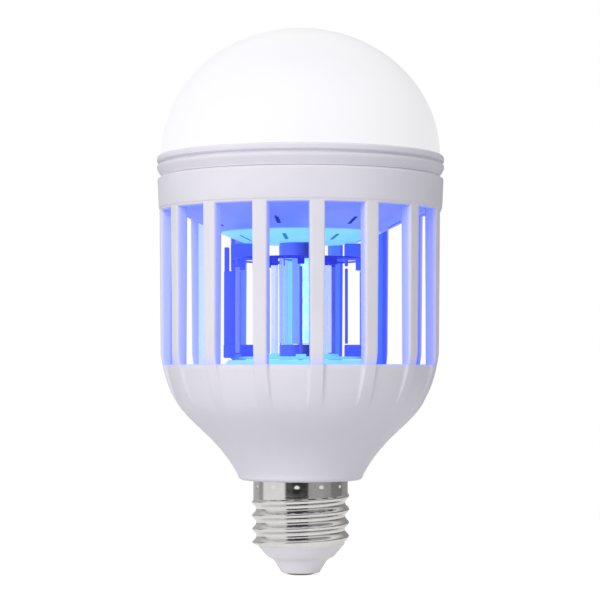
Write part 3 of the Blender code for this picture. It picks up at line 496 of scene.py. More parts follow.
class Finish(Tree):
    """The nodes of one material."""

    def __init__(self, name, **sockets):
        self.material = bpy.data.materials.new(name)
        super().__init__(self.material)
        self.shader = self.nodes["Principled BSDF"]
        for socket, value in sockets.items():
            self.shader.inputs[socket.replace("_", " ")].default_value = value

    @cached_property
    def position(self):
        return self.node("ShaderNodeTexCoord", {}).outputs["Object"]

    @cached_property
    def normal(self):
        return self.node("ShaderNodeNewGeometry", {}).outputs["Normal"]

    @cached_property
    def height(self):
        return self.split(self.position)["Z"]

    @cached_property
    def flat(self):
        """The position without its height."""
        return self.vector("MULTIPLY", self.position, (1.0, 1.0, 0.0))

    @cached_property
    def radius(self):
        return self.vector("LENGTH", self.flat)

    @cached_property
    def outward(self):
        """How far a surface faces away from the axis, from -1 to 1."""
        return self.vector("DOT_PRODUCT", self.vector("NORMALIZE", self.flat), self.normal)

    def along(self, vector, angle):
        """The length of a vector's part along one direction square to the axis."""
        return self.math("ABSOLUTE", self.vector("DOT_PRODUCT", vector, at(1.0, angle)))

    def colours_round(self, stops):
        """A colour that changes with the angle round the axis."""
        return self.ramp_round(self.position, [(angle, linear(colour)) for angle, colour in stops])

    def noise(self, size, detail=3.0, stretch=None):
        """Noise whose features are about size millimetres across."""
        place = self.vector("MULTIPLY", self.position, stretch) if stretch else self.position
        given = {"Vector": place, "Scale": 1.0 / (size * MM), "Detail": detail}
        return self.node("ShaderNodeTexNoise", given).outputs["Fac"]

    def give(self, socket, value):
        """Sets or links a socket of the shader."""
        self.set(self.shader.inputs[socket], value)

    def vary_roughness(self, noise, low, high):
        self.give("Roughness", self.ease(noise, *SWING, low, high))

    def bump(self, height, strength, depth):
        """A bump of the given depth in millimetres, on the shader's normal."""
        given = {"Height": height, "Strength": strength, "Distance": depth * MM}
        self.give("Normal", self.node("ShaderNodeBump", given).outputs["Normal"])

    def glow(self, colour, strength):
        self.give("Emission Color", colour)
        self.give("Emission Strength", strength)

    def lit(self, colour, strength):
        """Sets the colour as base colour and as glow; on every piece but the chips, the glow is painted
        lamp light.
        """
        self.give("Base Color", colour)
        self.glow(colour, strength)
        return self.material

    def moulded_grain(self, size=0.5, strength=0.12):
        """The fine texture of a moulded part, in bump and in roughness."""
        self.bump(self.noise(size, 4.0), strength, 0.04)
        cloud = self.noise(14.0, 2.0)
        self.vary_roughness(cloud, 0.34, 0.46)
        return cloud


def moulding_material():
    """White plastic outside, with the lamp's violet light and shade painted as colour and glow on the faces
    that look into the cage.
    """
    tree = Finish("white_moulding", Specular_IOR_Level=0.4)
    cloud = tree.moulded_grain()
    white = tree.mix(tree.ease(cloud, 0.25, 0.75), linear(MOULDING_SHADE), linear(MOULDING))
    # painted lamp light and shade in the windows: the ribs' side and inner faces take lamp-lit colours by
    # the angle round the axis, and glow
    depth = tree.ease_mm(tree.radius, BODY_R, BODY_R - 1.1)
    above = tree.ease_mm(tree.height, SILL - 0.5, SILL + 0.1)
    below = tree.ease_mm(tree.height, WINDOW_TOP + 0.9, WINDOW_TOP + 0.1)
    lit = tree.times(depth, tree.times(above, below))
    inner = tree.ease(tree.outward, -0.25, -0.8)
    inner_glow = tree.colours_round(INNER_GLOWS)
    painted_lamp_light = tree.mix(inner, tree.colours_round(RIB_SIDE_PAINTED_LIGHT), inner_glow)
    tree.give("Base Color", tree.mix(lit, white, painted_lamp_light))
    strength = tree.ease(inner, 0.0, 1.0, RIB_SIDE_GLOW, RIB_INNER_GLOW)
    tree.glow(tree.mix(inner, linear(RIB_SIDE_LIGHT), inner_glow), tree.times(lit, strength))
    return tree.material


def opal_material():
    """The lit dome."""
    tree = Finish("opal_dome", Roughness=0.32, Specular_IOR_Level=0.4)
    tree.give("Base Color", tree.mix(tree.noise(30.0, 2.0), (0.42, 0.41, 0.45), (0.47, 0.46, 0.49)))
    tree.bump(tree.noise(0.4), 0.06, 0.03)
    low, high = box_mm("diffuser_dome")
    tree.glow((*WHITE, 1.0), tree.ease_mm(tree.height, low.z, high.z, *DOME_GLOWS))
    return tree.material


def plate_tree(name, inner, inner_r, outer, edge, edge_r):
    """A plate in the cage with the lamp's light painted on: one lit colour inside a radius, and one that
    changes to its edge's outside.
    """
    tree = Finish(name, Specular_IOR_Level=0.3)
    cloud = tree.moulded_grain(0.6, 0.1)
    shade = tree.mix(tree.ease_mm(tree.radius, inner_r, edge_r), linear(outer), linear(edge))
    shade = tree.mix(tree.ease_mm(tree.radius, inner_r + 0.5, inner_r - 0.5), shade, linear(inner))
    return tree, tree.mix(tree.ease(cloud, *SWING, 0.0, 0.08), shade, WHITE)


def hub_painted_light(tree):
    """Painted light and shade on the round hubs at the lamp's ends: paler towards -X, on the chips'
    brighter side, and dark navy towards +X.
    """
    x = tree.split(tree.position)["X"]
    return tree.mix(tree.ease_mm(x, -5.0, 2.5), linear(HUB_LIT_SIDE), linear(HUB_SHADED_SIDE))


def ceiling_material():
    """The ceiling plate with the lamp's light painted on, painted shade on the slit walls, and the lamp's
    hub under it.
    """
    tree, shade = plate_tree("lit_ceiling", CEILING_INNER, CREASE_R, CEILING_OUTER, CEILING_RIM,
                             CEILING_EDGE_R)
    # painted shade: the slits' walls are dark navy, blue-green in the inner slits
    wall = tree.ease(tree.math("ABSOLUTE", tree.split(tree.normal)["Z"]), 0.6, 0.4)
    outer_slit = tree.ease_mm(tree.radius, CREASE_R - 1.0, CREASE_R)
    slit = tree.mix(outer_slit, linear(INNER_SLIT_SHADE), linear(OUTER_SLIT_SHADE))
    beyond_hub = tree.ease_mm(tree.radius, HUB_R + 0.5, HUB_R + 1.0)
    shade = tree.mix(tree.times(wall, beyond_hub), shade, slit)
    lowered = tree.ease_mm(tree.height, CEILING_FLAT, CEILING_FLAT - 0.3)
    return tree.lit(tree.mix(lowered, shade, hub_painted_light(tree)), PLATE_GLOW)


def floor_material():
    tree, shade = plate_tree("lit_floor", FLOOR_CYAN, FLOOR_FLAT_R, FLOOR_CYAN, FLOOR_EDGE, FLOOR_EDGE_R)
    return tree.lit(shade, PLATE_GLOW)


def holder_material():
    """Plastic with the lamp's blue light painted on: cyan on the lower disc, paler blocks at the sides, and
    painted shade in dark navy above, seen as thin dark lines.
    """
    tree = Finish("holder_plastic", Roughness=0.4, Specular_IOR_Level=0.4)
    tree.moulded_grain(0.5, 0.1)
    beside = tree.math("DIVIDE", tree.along(tree.position, HANGERS[0]), tree.radius)
    disc_top = box_mm("grid_lower_holder")[0].z + HOLDER_BASE
    disc = tree.ease_mm(tree.height, disc_top + 0.9, disc_top + 0.6)
    shade = tree.mix(disc, linear(HOLDER_SHADE), linear(HOLDER_CYAN))
    shade = tree.mix(tree.ease(beside, 0.7, 0.95), shade, linear(HOLDER_BLOCK))
    pillar = tree.times(tree.ease(beside, 0.93, 0.97), tree.ease_mm(tree.radius, 8.0, 9.0))
    shade = tree.mix(pillar, shade, linear(HOLDER_BLOCK))
    hub = tree.ease_mm(tree.radius, HUB_R + 0.5, HUB_R + 0.2)
    return tree.lit(tree.mix(hub, shade, hub_painted_light(tree)), HOLDER_GLOW)


def grid_material(name, stops, glow):
    """Drawn metal with the lamp's light painted on as colour and glow."""
    tree = Finish(name, Metallic=0.7)
    drawn = tree.noise(0.25, 3.0, (1.0, 1.0, 0.03))
    tree.vary_roughness(drawn, 0.25, 0.42)
    tree.bump(drawn, 0.15, 0.02)
    return tree.lit(tree.mix(tree.times(drawn, 0.16), tree.colours_round(stops), WHITE), glow)


def sleeve_material():
    """Clear tube with a blue tint and a faint glow of painted lamp light."""
    tree = Finish("sleeve_clear", Transmission_Weight=1.0, IOR=1.15)
    streak = tree.noise(3.0, 2.0, (1.0, 1.0, 0.1))
    tree.give("Base Color", tree.mix(streak, (0.74, 0.88, 1.0), (0.82, 0.92, 1.0)))
    tree.vary_roughness(streak, 0.03, 0.07)
    tree.glow((*linear(SLEEVE_LIGHT), 1.0), SLEEVE_GLOW)
    return tree.material


def core_material():
    """The lamp post with the chips' light painted on: bright where the chips are, cyan at the top and near
    white at the foot, and painted shade, slate, on the two sides between them.
    """
    low, high = box_mm("uv_post")
    tree = Finish("lamp_core", Roughness=0.4)
    shade = tree.mix(tree.ease_mm(tree.height, high.z, low.z), linear(CORE_TOP), linear(CORE_FOOT))
    shade = tree.mix(tree.ease(tree.noise(2.5, 2.0), 0.35, 0.75, 0.0, 0.18), shade, WHITE)
    facing = tree.ease(tree.along(tree.normal, rods[0][0]), 0.5, 0.8)
    return tree.lit(tree.mix(facing, linear(CORE_SHADED_SIDE), shade), CORE_GLOW)


def chip_material():
    """Lit chips with a pattern of pale dots."""
    tree = Finish("uv_chip", Roughness=0.2, Coat_Weight=0.5)
    dots = tree.node("ShaderNodeTexVoronoi", {"Vector": tree.position, "Scale": 1.0 / (1.4 * MM)})
    share = tree.ease(dots.outputs["Distance"], 0.1, 0.5)
    return tree.lit(tree.mix(share, linear(CHIP_PALE), linear(CHIP_BLUE)), CHIP_GLOW)


def nickel_material():
    """Rolled nickel plate with faint drawing marks round the axis."""
    tree = Finish("nickel", Metallic=1.0)
    marks = tree.noise(0.9, 4.0, (0.15, 0.15, 3.0))
    tree.give("Base Color", tree.mix(tree.noise(4.0), (0.68, 0.665, 0.64), (0.80, 0.79, 0.775)))
    tree.vary_roughness(marks, 0.07, 0.13)
    tree.bump(marks, 0.04, 0.02)
    return tree.material


def insulator_material():
    """Smooth pale plastic."""
    tree = Finish("insulator_pale", Roughness=0.28, Coat_Weight=0.3, Specular_IOR_Level=0.5)
    tree.give("Base Color", tree.mix(tree.noise(5.0), linear(INSULATOR_SHADE), linear(INSULATOR_PALE)))
    tree.bump(tree.noise(0.3), 0.05, 0.03)
    return tree.material


def grained_material(name, colour, roughness, metallic=0.0, spread=0.12, size=0.6):
    """A plain finish with cloudy colour and a fine grain."""
    tree = Finish(name, Metallic=metallic)
    darker = tuple(c * (1.0 - spread) for c in colour)
    lighter = tuple(min(1.0, c * (1.0 + spread)) for c in colour)
    tree.give("Base Color", tree.mix(tree.noise(6.0 * size), darker, lighter))
    grain = tree.noise(size, 4.0)
    tree.vary_roughness(grain, 0.85 * roughness, 1.15 * roughness)
    tree.bump(grain, 0.15, 0.03)
    return tree.material


# Cage body

def bowl_point(t, inward=0.0):
    """A point on the bowl's S curve, moved in square to the curve."""
    width = BODY_R - BOWL_FOOT_R
    start = BOWL_BOTTOM + BOWL_FOOT_ROUND
    height = SILL + SHOULDER_RISE - start
    foot = Vector((BOWL_FOOT_R, start))
    top = Vector((BODY_R, start + height))
    low = foot + Vector((0.39 * width, 0.46 * height))
    high = top - Vector((0.13 * width, 0.6 * height))
    s = 1.0 - t
    point = s ** 3 * foot + 3 * s * s * t * low + 3 * s * t * t * high + t ** 3 * top
    slope = s * s * (low - foot) + 2 * s * t * (high - low) + t * t * (top - high)
    slope.normalize()
    return point.x - slope.y * inward, point.y + slope.x * inward


def bowl_t(value, inward, axis):
    """Where on the curve a radius (axis 0) or a height (axis 1) is reached."""
    low, high = 0.0, 1.0
    for _ in range(40):
        middle = 0.5 * (low + high)
        if bowl_point(middle, inward)[axis] < value:
            low = middle
        else:
            high = middle
    return low


def bowl_rows(bottom, top, inward, steps):
    first = bowl_t(bottom, inward, 1)
    last = bowl_t(top, inward, 1)
    return [bowl_point(first + (last - first) * i / steps, inward) for i in range(steps + 1)]


def smooth(t):
    t = max(0.0, min(1.0, t))
    return t * t * (3.0 - 2.0 * t)


def rib_half(z):
    """Half a rib's width at a height."""
    share = (z - SILL) / (WINDOW_TOP - SILL)
    return 0.5 * (RIB_FOOT_WIDTH + (RIB_TOP_WIDTH - RIB_FOOT_WIDTH) * max(0.0, min(1.0, share)))


def hollow(z, beside):
    """How deep the panel below a window lies, at a height and a distance beside the rib."""
    drop = (SILL - z) / SCOOP_HEIGHT
    if drop < -0.05 or drop > 1.0:
        return 0.0
    return SCOOP_DEPTH * (1.0 - max(0.0, drop) ** 2) * smooth((beside - CREASE_START) / CREASE_WIDTH)


def sector_row(radius, z, outside):
    """One row of points over a rib and the panel beside it, as (angle in degrees, radius)."""
    half = rib_half(z) - RIB_ROUND
    row = []
    for i in range(RIB_STEPS + 1):
        across = half * (2.0 * i / RIB_STEPS - 1.0)
        row.append((degrees(asin(across / radius)), radius))
    edge = degrees(asin(half / radius))
    angles = [edge + degrees(step / radius) for step in PANEL_STEPS]
    angles += [0.5 * RIB_PITCH] + [RIB_PITCH - a for a in reversed(angles)]
    for angle in angles:
        beside = radians(min(angle, RIB_PITCH - angle)) * radius - rib_half(z)
        row.append((angle, radius - (hollow(z, beside) if outside else 0.0)))
    return row


def ledge(radius, z, lowest):
    """A ledge's inner corners: its edge, and where a wall below that edge meets the bowl's wall."""
    meets = max(bowl_point(bowl_t(radius, BOWL_WALL, 0), BOWL_WALL)[1], lowest)
    return [(radius, z), (radius, meets)] + list(reversed(bowl_rows(lowest, meets, BOWL_WALL, 6)[:-1]))


def cage_rows():
    """The body's section as rows of (radius, height, on the outside), up and over."""
    bore = COLLAR_TOP_R - COLLAR_WALL
    neck_floor = BOWL_BOTTOM + BOWL_WALL
    foot = (BOWL_FOOT_R - BOWL_FOOT_ROUND, BOWL_BOTTOM + BOWL_FOOT_ROUND)
    outer = [
        (NECK_R - NECK_WALL, NECK_BOTTOM), (NECK_R, NECK_BOTTOM), (NECK_R, CAP_THREAD_TOP - CLEAR),
        (NECK_COLLAR_R, CAP_THREAD_TOP + 2.0 * CLEAR), (NECK_COLLAR_R, BOWL_BOTTOM),
    ]
    outer += arc(foot, (BOWL_FOOT_ROUND, BOWL_FOOT_ROUND), -90.0, 0.0, 6)
    outer += bowl_rows(foot[1], SILL - RIB_ROUND, 0.0, 34)[1:]
    low = len(outer) - 1
    shoulder = SILL + SHOULDER_RISE
    outer += bowl_rows(SILL + 0.15, shoulder, 0.0, 5)
    straight = 14
    for i in range(1, straight + 1):
        z = shoulder + (WINDOW_TOP - 0.15 - shoulder) * i / straight
        outer.append((BODY_R + (BODY_TOP_R - BODY_R) * i / straight, z))
    high = len(outer)
    step = WINDOW_TOP + COLLAR_STEP_RISE
    collar = [
        (BODY_TOP_R, WINDOW_TOP + RIB_ROUND), (BODY_TOP_R, step), (COLLAR_R, step + 0.35),
        (COLLAR_TOP_R, COLLAR_TOP - COLLAR_EDGE_RISE), (COLLAR_TOP_R - GROOVE_DEPTH, COLLAR_TOP),
        (bore, COLLAR_TOP),
    ]
    outer += rounded(collar, 0.22, 3, False)
    inner = [(bore, SHELF_BOTTOM + SHELF_THICK), (SHELF_R, SHELF_BOTTOM + SHELF_THICK),
             (SHELF_R, SHELF_BOTTOM), (RIB_INNER_R, SHELF_BOTTOM), (RIB_INNER_R, WINDOW_TOP + RIB_ROUND)]
    inner_high = len(outer) + len(inner) - 1
    inner += [(RIB_INNER_R, z) for _, z in reversed(outer[low + 1:high])]
    inner.append((RIB_INNER_R, SILL - RIB_ROUND))
    inner_low = len(outer) + len(inner) - 1
    inner.append((RIB_INNER_R, FLOOR_LEDGE))
    inner += ledge(RIB_INNER_R - LEDGE_WIDTH, FLOOR_LEDGE, DRIVER_LEDGE)
    inner += ledge(inner[-1][0] - DRIVER_LEDGE_WIDTH, DRIVER_LEDGE, neck_floor)
    inner.append((NECK_R - NECK_WALL, neck_floor))
    rows = [(r, z, True) for r, z in outer] + [(r, z, False) for r, z in inner]
    return rows, (low, high, inner_high, inner_low)


def window_loop(rows, points, bounds, rib, turn, outside):
    """One ring of points round a window's wall. Turn goes from 0 on the surface to 90 on the wall."""
    low, high = bounds
    lateral = RIB_ROUND * sin(radians(turn))
    depth = RIB_ROUND * (1.0 - cos(radians(turn))) * (1.0 if outside else -1.0)

    def corner(row):
        radius, z, _ = rows[row]
        lift = lateral if row == min(low, high) else -lateral if row == max(low, high) else 0.0
        height = z + (lift if low < high else -lift)
        across = rib_half(z) - RIB_ROUND + lateral
        dip = hollow(height, across - rib_half(z)) if outside else 0.0
        reach = sqrt(radius * radius - across * across) - depth - dip
        return degrees(atan2(across, reach)), hypot(across, reach), height

    def panel(row):
        first_angle, _, z = corner(row)
        flat = points[row]
        start = flat[RIB_STEPS][0]
        spread = (RIB_PITCH - 2.0 * first_angle) / (RIB_PITCH - 2.0 * start)
        return [at(radius - depth, rib * RIB_PITCH + first_angle + (angle - start) * spread, z)
                for angle, radius in flat[RIB_STEPS + 1:]]

    left = []
    right = []
    for row in range(low, high + 1) if low < high else range(low, high - 1, -1):
        angle, radius, z = corner(row)
        left.append(at(radius, rib * RIB_PITCH + angle, z))
        right.append(at(radius, (rib + 1) * RIB_PITCH - angle, z))
    return left + panel(high) + right[::-1] + panel(low)[::-1]


def make_cage(material):
    rows, (low, high, inner_high, inner_low) = cage_rows()
    points = [sector_row(radius, z, outside) for radius, z, outside in rows]
    columns = len(points[0])
    verts = []
    for row, (_, z, _) in zip(points, rows):
        for rib in range(RIB_COUNT):
            verts += [at(radius, rib * RIB_PITCH + angle, z) for angle, radius in row]

    def in_window(row, column):
        return column % columns >= RIB_STEPS and (low <= row < high or inner_high <= row < inner_low)

    faces = ring_faces(len(rows), columns * RIB_COUNT, left_out=in_window)
    turns = (0.0, 30.0, 60.0, 90.0)
    for rib in range(RIB_COUNT):
        loops = [window_loop(rows, points, (low, high), rib, turn, True) for turn in turns]
        loops += [window_loop(rows, points, (inner_low, inner_high), rib, turn, False)
                  for turn in reversed(turns)]
        faces += ring_faces(len(loops), len(loops[0]), len(verts), False)
        for loop in loops:
            verts += loop
    mesh = mesh_of("cage_shell", verts, faces)
    finish_mesh("cage_shell", mesh, material, "cage_body", 50.0)


# Plates

def make_ceiling(material):
    rim_top = ceiling_high.z
    hub = ceiling_low.z
    crease = CEILING_FLAT + CREASE_RISE
    profile = rounded([
        (LEAD_HOLE_R, hub), (HUB_R, hub), (HUB_R, CEILING_FLAT), (FLAT_R, CEILING_FLAT), (CREASE_R, crease),
        (PLATE_R - PLATE_LAND, WINDOW_TOP), (PLATE_R, WINDOW_TOP), (PLATE_R, rim_top),
        (SHELF_R - CLEAR, rim_top), (CREASE_R, crease + PLATE_THICK), (FLAT_R, CEILING_FLAT + PLATE_THICK),
        (LEAD_HOLE_R, CEILING_FLAT + PLATE_THICK),
    ], 0.3)
    slits = blocks_mesh("slits", [
        (start + 0.5 * SLIT_LENGTH, SLIT_PHASE + k * 360.0 / SLIT_COUNT, SLIT_LENGTH, SLIT_WIDTH,
         CEILING_FLAT - SLIT_REACH, rim_top + SLIT_REACH, 0.3)
        for k in range(SLIT_COUNT) for start in SLIT_STARTS
    ])
    mesh = combined(turned("ceiling_shell", profile, 160), [slits], "DIFFERENCE")
    finish_mesh("ceiling_shell", mesh, material, "ceiling_plate", 30.0)


def make_floor(material):
    rim_bottom = floor_low.z
    top = floor_high.z
    step_foot = FLOOR_FLAT_R + FLOOR_STEP_WIDTH
    profile = rounded([
        (LEAD_HOLE_R, top - FLOOR_THICK), (FLOOR_FLAT_R, top - FLOOR_THICK), (step_foot, rim_bottom),
        (PLATE_R, rim_bottom), (PLATE_R, rim_bottom + FLOOR_THICK), (step_foot, rim_bottom + FLOOR_THICK),
        (FLOOR_FLAT_R, top), (LEAD_HOLE_R, top),
    ], 0.3)
    finish_turned("floor_shell", profile, 160, material, "floor_plate", 30.0)


# Grid and lamp

def node_place(node):
    """The angle and radius of a node's middle, and its lowest and highest heights."""
    low, high = box_mm(node)
    middle = 0.5 * (low + high)
    return degrees(atan2(middle.y, middle.x)), hypot(middle.x, middle.y), low.z, high.z


strips = [node_place(f"electrode_outer_{k + 1}") for k in range(GRID_COUNT)]
rods = [node_place(f"electrode_inner_{k + 1}") for k in range(GRID_COUNT)]
HUB_R = box_mm("lamp_sleeve")[1].x  # the sleeve and the hubs at its ends
STRIP_R = strips[0][1]
ROD_R = rods[0][1]
HOLDER_R = STRIP_R + 0.6
HANGERS = (rods[1][0], rods[5][0])  # angles of the two side blocks
HANGER_START = ROD_R - 0.5 * RING_BAND + 0.2
HANGER_END = STRIP_R + 0.5 * RING_BAND - 0.2
PILLAR_START = STRIP_R + 0.5 * RING_BAND + CLEAR
PILLAR_END = PILLAR_START + PILLAR_THICK


def feet(name, depth, width, low, high):
    """A block at each strip and each rod."""
    return blocks_mesh(name, [(radius, angle, depth, width, low, high, 0.2)
                              for angle, radius, _, _ in strips + rods])


def make_holder(material):
    """The disc with the lamp's hub, the sockets and a pillar outside each hanger."""
    low, high = box_mm("grid_lower_holder")
    ring_low, ring_high = box_mm("grid_upper_ring")
    base = low.z + HOLDER_BASE
    middle = low.z + 0.5 * HOLDER_BASE
    profile = rounded([(LEAD_HOLE_R, low.z), (HOLDER_R, low.z), (HOLDER_R, base), (HUB_R, base),
                       (HUB_R, high.z), (LEAD_HOLE_R, high.z)], 0.35, 4)
    tools = [
        feet("sockets", SOCKET_DEPTH, SOCKET_WIDTH, middle, base + SOCKET_RISE),
        side_blocks("foot_blocks", HANGER_START, PILLAR_END, HANGER_WIDTH, middle, high.z),
        side_blocks("pillars", PILLAR_END - PILLAR_FOOT_DEPTH, PILLAR_END - 0.1, 0.8 * HANGER_WIDTH,
                    base, ring_low.z - CLEAR),
        side_blocks("pillar_lips", PILLAR_START, PILLAR_END - 0.2, 0.7 * HANGER_WIDTH,
                    base + 0.1, ring_high.z - PILLAR_DROP),
    ]
    mesh = combined(turned("holder_shell", profile, 128), tools, "UNION")
    finish_mesh("holder_shell", mesh, material, "grid_lower_holder", 30.0)


def make_upper_ring(material):
    """Two thin flat rings, with bosses for the electrodes and the hangers that carry them."""
    low, high = box_mm("grid_upper_ring")
    plate_bottom = low.z + HANGER_DROP
    plate_top = plate_bottom + RING_PLATE_THICK
    middle = 0.5 * (plate_bottom + plate_top)

    def flat_ring(name, radius, segments):
        inner = radius - 0.5 * RING_BAND + 0.2
        outer = radius + 0.5 * RING_BAND - 0.2
        bottom = plate_bottom + 0.15
        corners = [(inner, bottom), (outer, bottom), (outer, plate_top), (inner, plate_top)]
        return turned(name, rounded(corners, 0.15), segments)

    tools = [
        flat_ring("inner_ring", ROD_R, 96),
        side_blocks("hangers", HANGER_START, HANGER_END, HANGER_WIDTH, middle, high.z),
        side_blocks("low_hangers", ROD_R + HANGER_ROD_GAP, HANGER_END, 0.8 * HANGER_WIDTH,
                    low.z, middle + 0.5),
        feet("bosses", RING_BAND - 0.5, BOSS_WIDTH, plate_bottom - BOSS_DROP, middle),
    ]
    mesh = combined(flat_ring("upper_ring_shell", STRIP_R, 128), tools, "UNION")
    finish_mesh("upper_ring_shell", mesh, material, "grid_upper_ring", 30.0)


def make_electrodes(strip_material, rod_material):
    for k, (angle, radius, bottom, top) in enumerate(strips, 1):
        mesh = blocks_mesh(f"strip_{k}", [(radius, angle, STRIP_THICK, STRIP_WIDTH, bottom, top, 0.22)])
        finish_mesh(f"strip_{k}", mesh, strip_material, f"electrode_outer_{k}")
    for k, (angle, radius, bottom, top) in enumerate(rods, 1):
        outline = [(0.0, bottom), (ROD_RADIUS, bottom), (ROD_RADIUS, top), (0.0, top)]
        mesh = turned(f"rod_{k}", rounded(outline, 0.15, 3, False), 20)
        mesh.transform(Matrix.Translation(at(radius, angle)))
        finish_mesh(f"rod_{k}", mesh, rod_material, f"electrode_inner_{k}")


def make_lamp(core, chip, sleeve):
    low, high = box_mm("uv_post")
    mesh = blocks_mesh("lamp_post", [(0.0, rods[0][0], POST_WIDTH, POST_WIDTH, low.z, high.z, 0.3)])
    finish_mesh("lamp_post", mesh, core, "uv_post")
    for k in range(1, 9):
        angle, radius, bottom, top = node_place(f"uv_led_{k}")
        mesh = blocks_mesh(f"uv_chip_{k}", [
            (radius - 0.17, angle, 0.35, 2.2, bottom, top, 0.1),
            (radius + 0.14, angle, 0.4, 1.6, bottom + 0.35, top - 0.35, 0.18),
        ])
        finish_mesh(f"uv_chip_{k}", mesh, chip, f"uv_led_{k}")
    low, high = box_mm("lamp_sleeve")
    bore = high.x - SLEEVE_WALL
    profile = rounded([(bore, low.z), (high.x, low.z), (high.x, high.z), (bore, high.z)], 0.3, 4)
    finish_turned("sleeve_tube", profile, 128, sleeve, "lamp_sleeve")


# Ring, dome and cap

def make_ring(material):
    low, high = box_mm("top_ring")
    ring_r = high.x
    bottom = low.z + RING_SPIGOT
    joint = bottom - JOINT_DROP
    joint_r = COLLAR_TOP_R - GROOVE_DEPTH
    top = high.z
    bore_r = ring_r - RING_WALL
    spigot_r = COLLAR_TOP_R - COLLAR_WALL - CLEAR
    inner = spigot_r - RING_SPIGOT_WALL
    seat = top - SEAT_DEPTH
    groove = seat - GROOVE_DROP
    groove_r = ring_r - GROOVE_DEPTH
    heat_plate = seat - HEAT_PLATE_THICK - CLEAR
    profile = rounded([
        (inner, low.z), (spigot_r, low.z), (spigot_r, joint - 0.25), (joint_r, joint - 0.25),
        (joint_r, joint + 0.05), (ring_r - 0.4 * GROOVE_DEPTH, bottom + 0.5 * RING_BEAD_RISE),
        (ring_r, bottom + RING_BEAD_RISE), (ring_r, groove - 0.5 * GROOVE_HEIGHT),
        (groove_r, groove - 0.2 * GROOVE_HEIGHT), (groove_r, groove + 0.2 * GROOVE_HEIGHT),
        (ring_r, groove + 0.5 * GROOVE_HEIGHT), (ring_r, top - RING_LIP_ROUND),
        (ring_r - RING_LIP_ROUND, top), (bore_r, top), (bore_r, seat), (bore_r - RING_LEDGE, seat),
        (bore_r - RING_LEDGE, heat_plate), (inner, heat_plate),
    ], 0.2)
    finish_turned("ring_shell", profile, 256, material, "top_ring")


def make_dome(material):
    low, high = box_mm("diffuser_dome")
    radius = high.x
    equator = box_mm("top_ring")[1].z + CLEAR
    height = high.z - equator
    outer = arc((0.0, equator), (radius, height), 90.0, 0.0, 44)
    inner = arc((0.0, equator), (radius - DOME_WALL, height - DOME_WALL), 0.0, 90.0, 24)
    outer[0] = (0.0, high.z)
    inner[-1] = (0.0, high.z - DOME_WALL)
    profile = outer + [(radius, low.z), (radius - DOME_WALL, low.z)] + inner
    finish_turned("dome_shell", profile, 256, material, "diffuser_dome")


def last_crest(angle):
    """The height of the thread's last crest, where the skirt comes down to it."""
    return CAP_START + CAP_THREAD_PITCH * (CAP_TURNS + (angle - CAP_THREAD_PHASE) % 360.0 / 360.0)


def thread_height(angle, z):
    """How far the rolled thread stands out of its root, from 0 to 1."""
    turn = 2.0 * pi * (z - CAP_START) / CAP_THREAD_PITCH - radians(angle - CAP_THREAD_PHASE)
    wave = (0.5 + 0.5 * cos(turn)) ** 1.25
    start = smooth((z - CAP_START + 0.3) / (0.25 * CAP_THREAD_PITCH))
    end = smooth((last_crest(angle) + 0.45 * CAP_THREAD_PITCH - z) / (0.2 * CAP_THREAD_PITCH))
    return wave * min(start, end)


def cap_radius(angle, z):
    """The shell's outside: sunk under the insulator's rim, threaded, then the plain skirt."""
    root = CAP_ROOT_R - CAP_SUNK * smooth((CAP_START + INSULATOR_RIM_RISE - z) / 0.2)
    skirt = CAP_ROOT_R + (CAP_SKIRT_R - CAP_ROOT_R) * smooth((z - last_crest(angle)) / 0.6)
    threaded = root + (CAP_THREAD_R - root) * thread_height(angle, z)
    return max(threaded, skirt) if z > CAP_START + CAP_TURNS * CAP_THREAD_PITCH else threaded


def dimple(angle, z):
    """The depth of the crimps round the skirt."""
    pitch = 360.0 / DIMPLE_COUNT
    beside = (angle - DIMPLE_PHASE + 0.5 * pitch) % pitch - 0.5 * pitch
    across = radians(beside) * CAP_THREAD_R / DIMPLE_SIZE[0]
    along = (z - CAP_TOP + DIMPLE_DROP) / DIMPLE_SIZE[1]
    return DIMPLE_DEPTH * exp(-across * across - along * along)


def make_cap(material):
    angles = [360.0 * k / CAP_SEGMENTS for k in range(CAP_SEGMENTS)]
    rows = []

    def add_row(z, radius_at):
        rows.append([at(radius_at(angle), angle, z) for angle in angles])

    for i in range(CAP_ROWS + 1):
        z = SHELL_START + (CAP_TOP - SHELL_START) * i / CAP_ROWS
        add_row(z, lambda angle: cap_radius(angle, z) - dimple(angle, z))
    bore = CAP_SKIRT_R - SKIRT_WALL
    for radius in (CAP_SKIRT_R - 0.02, bore):
        add_row(CAP_TOP + CAP_RIM_RISE, lambda angle: radius)
    inside = 6
    for i in range(inside + 1):
        z = CAP_TOP - (CAP_TOP - CAP_THREAD_TOP - 0.15) * i / inside
        add_row(z, lambda angle: bore - dimple(angle, z))
    for z in (CAP_THREAD_TOP - 2.0 * CLEAR, SHELL_START):
        add_row(z, lambda angle: CAP_BORE_R)
    verts = [point for row in rows for point in row]
    mesh = mesh_of("cap_shell", verts, ring_faces(len(rows), CAP_SEGMENTS))
    finish_mesh("cap_shell", mesh, material, "screw_shell", 60.0)


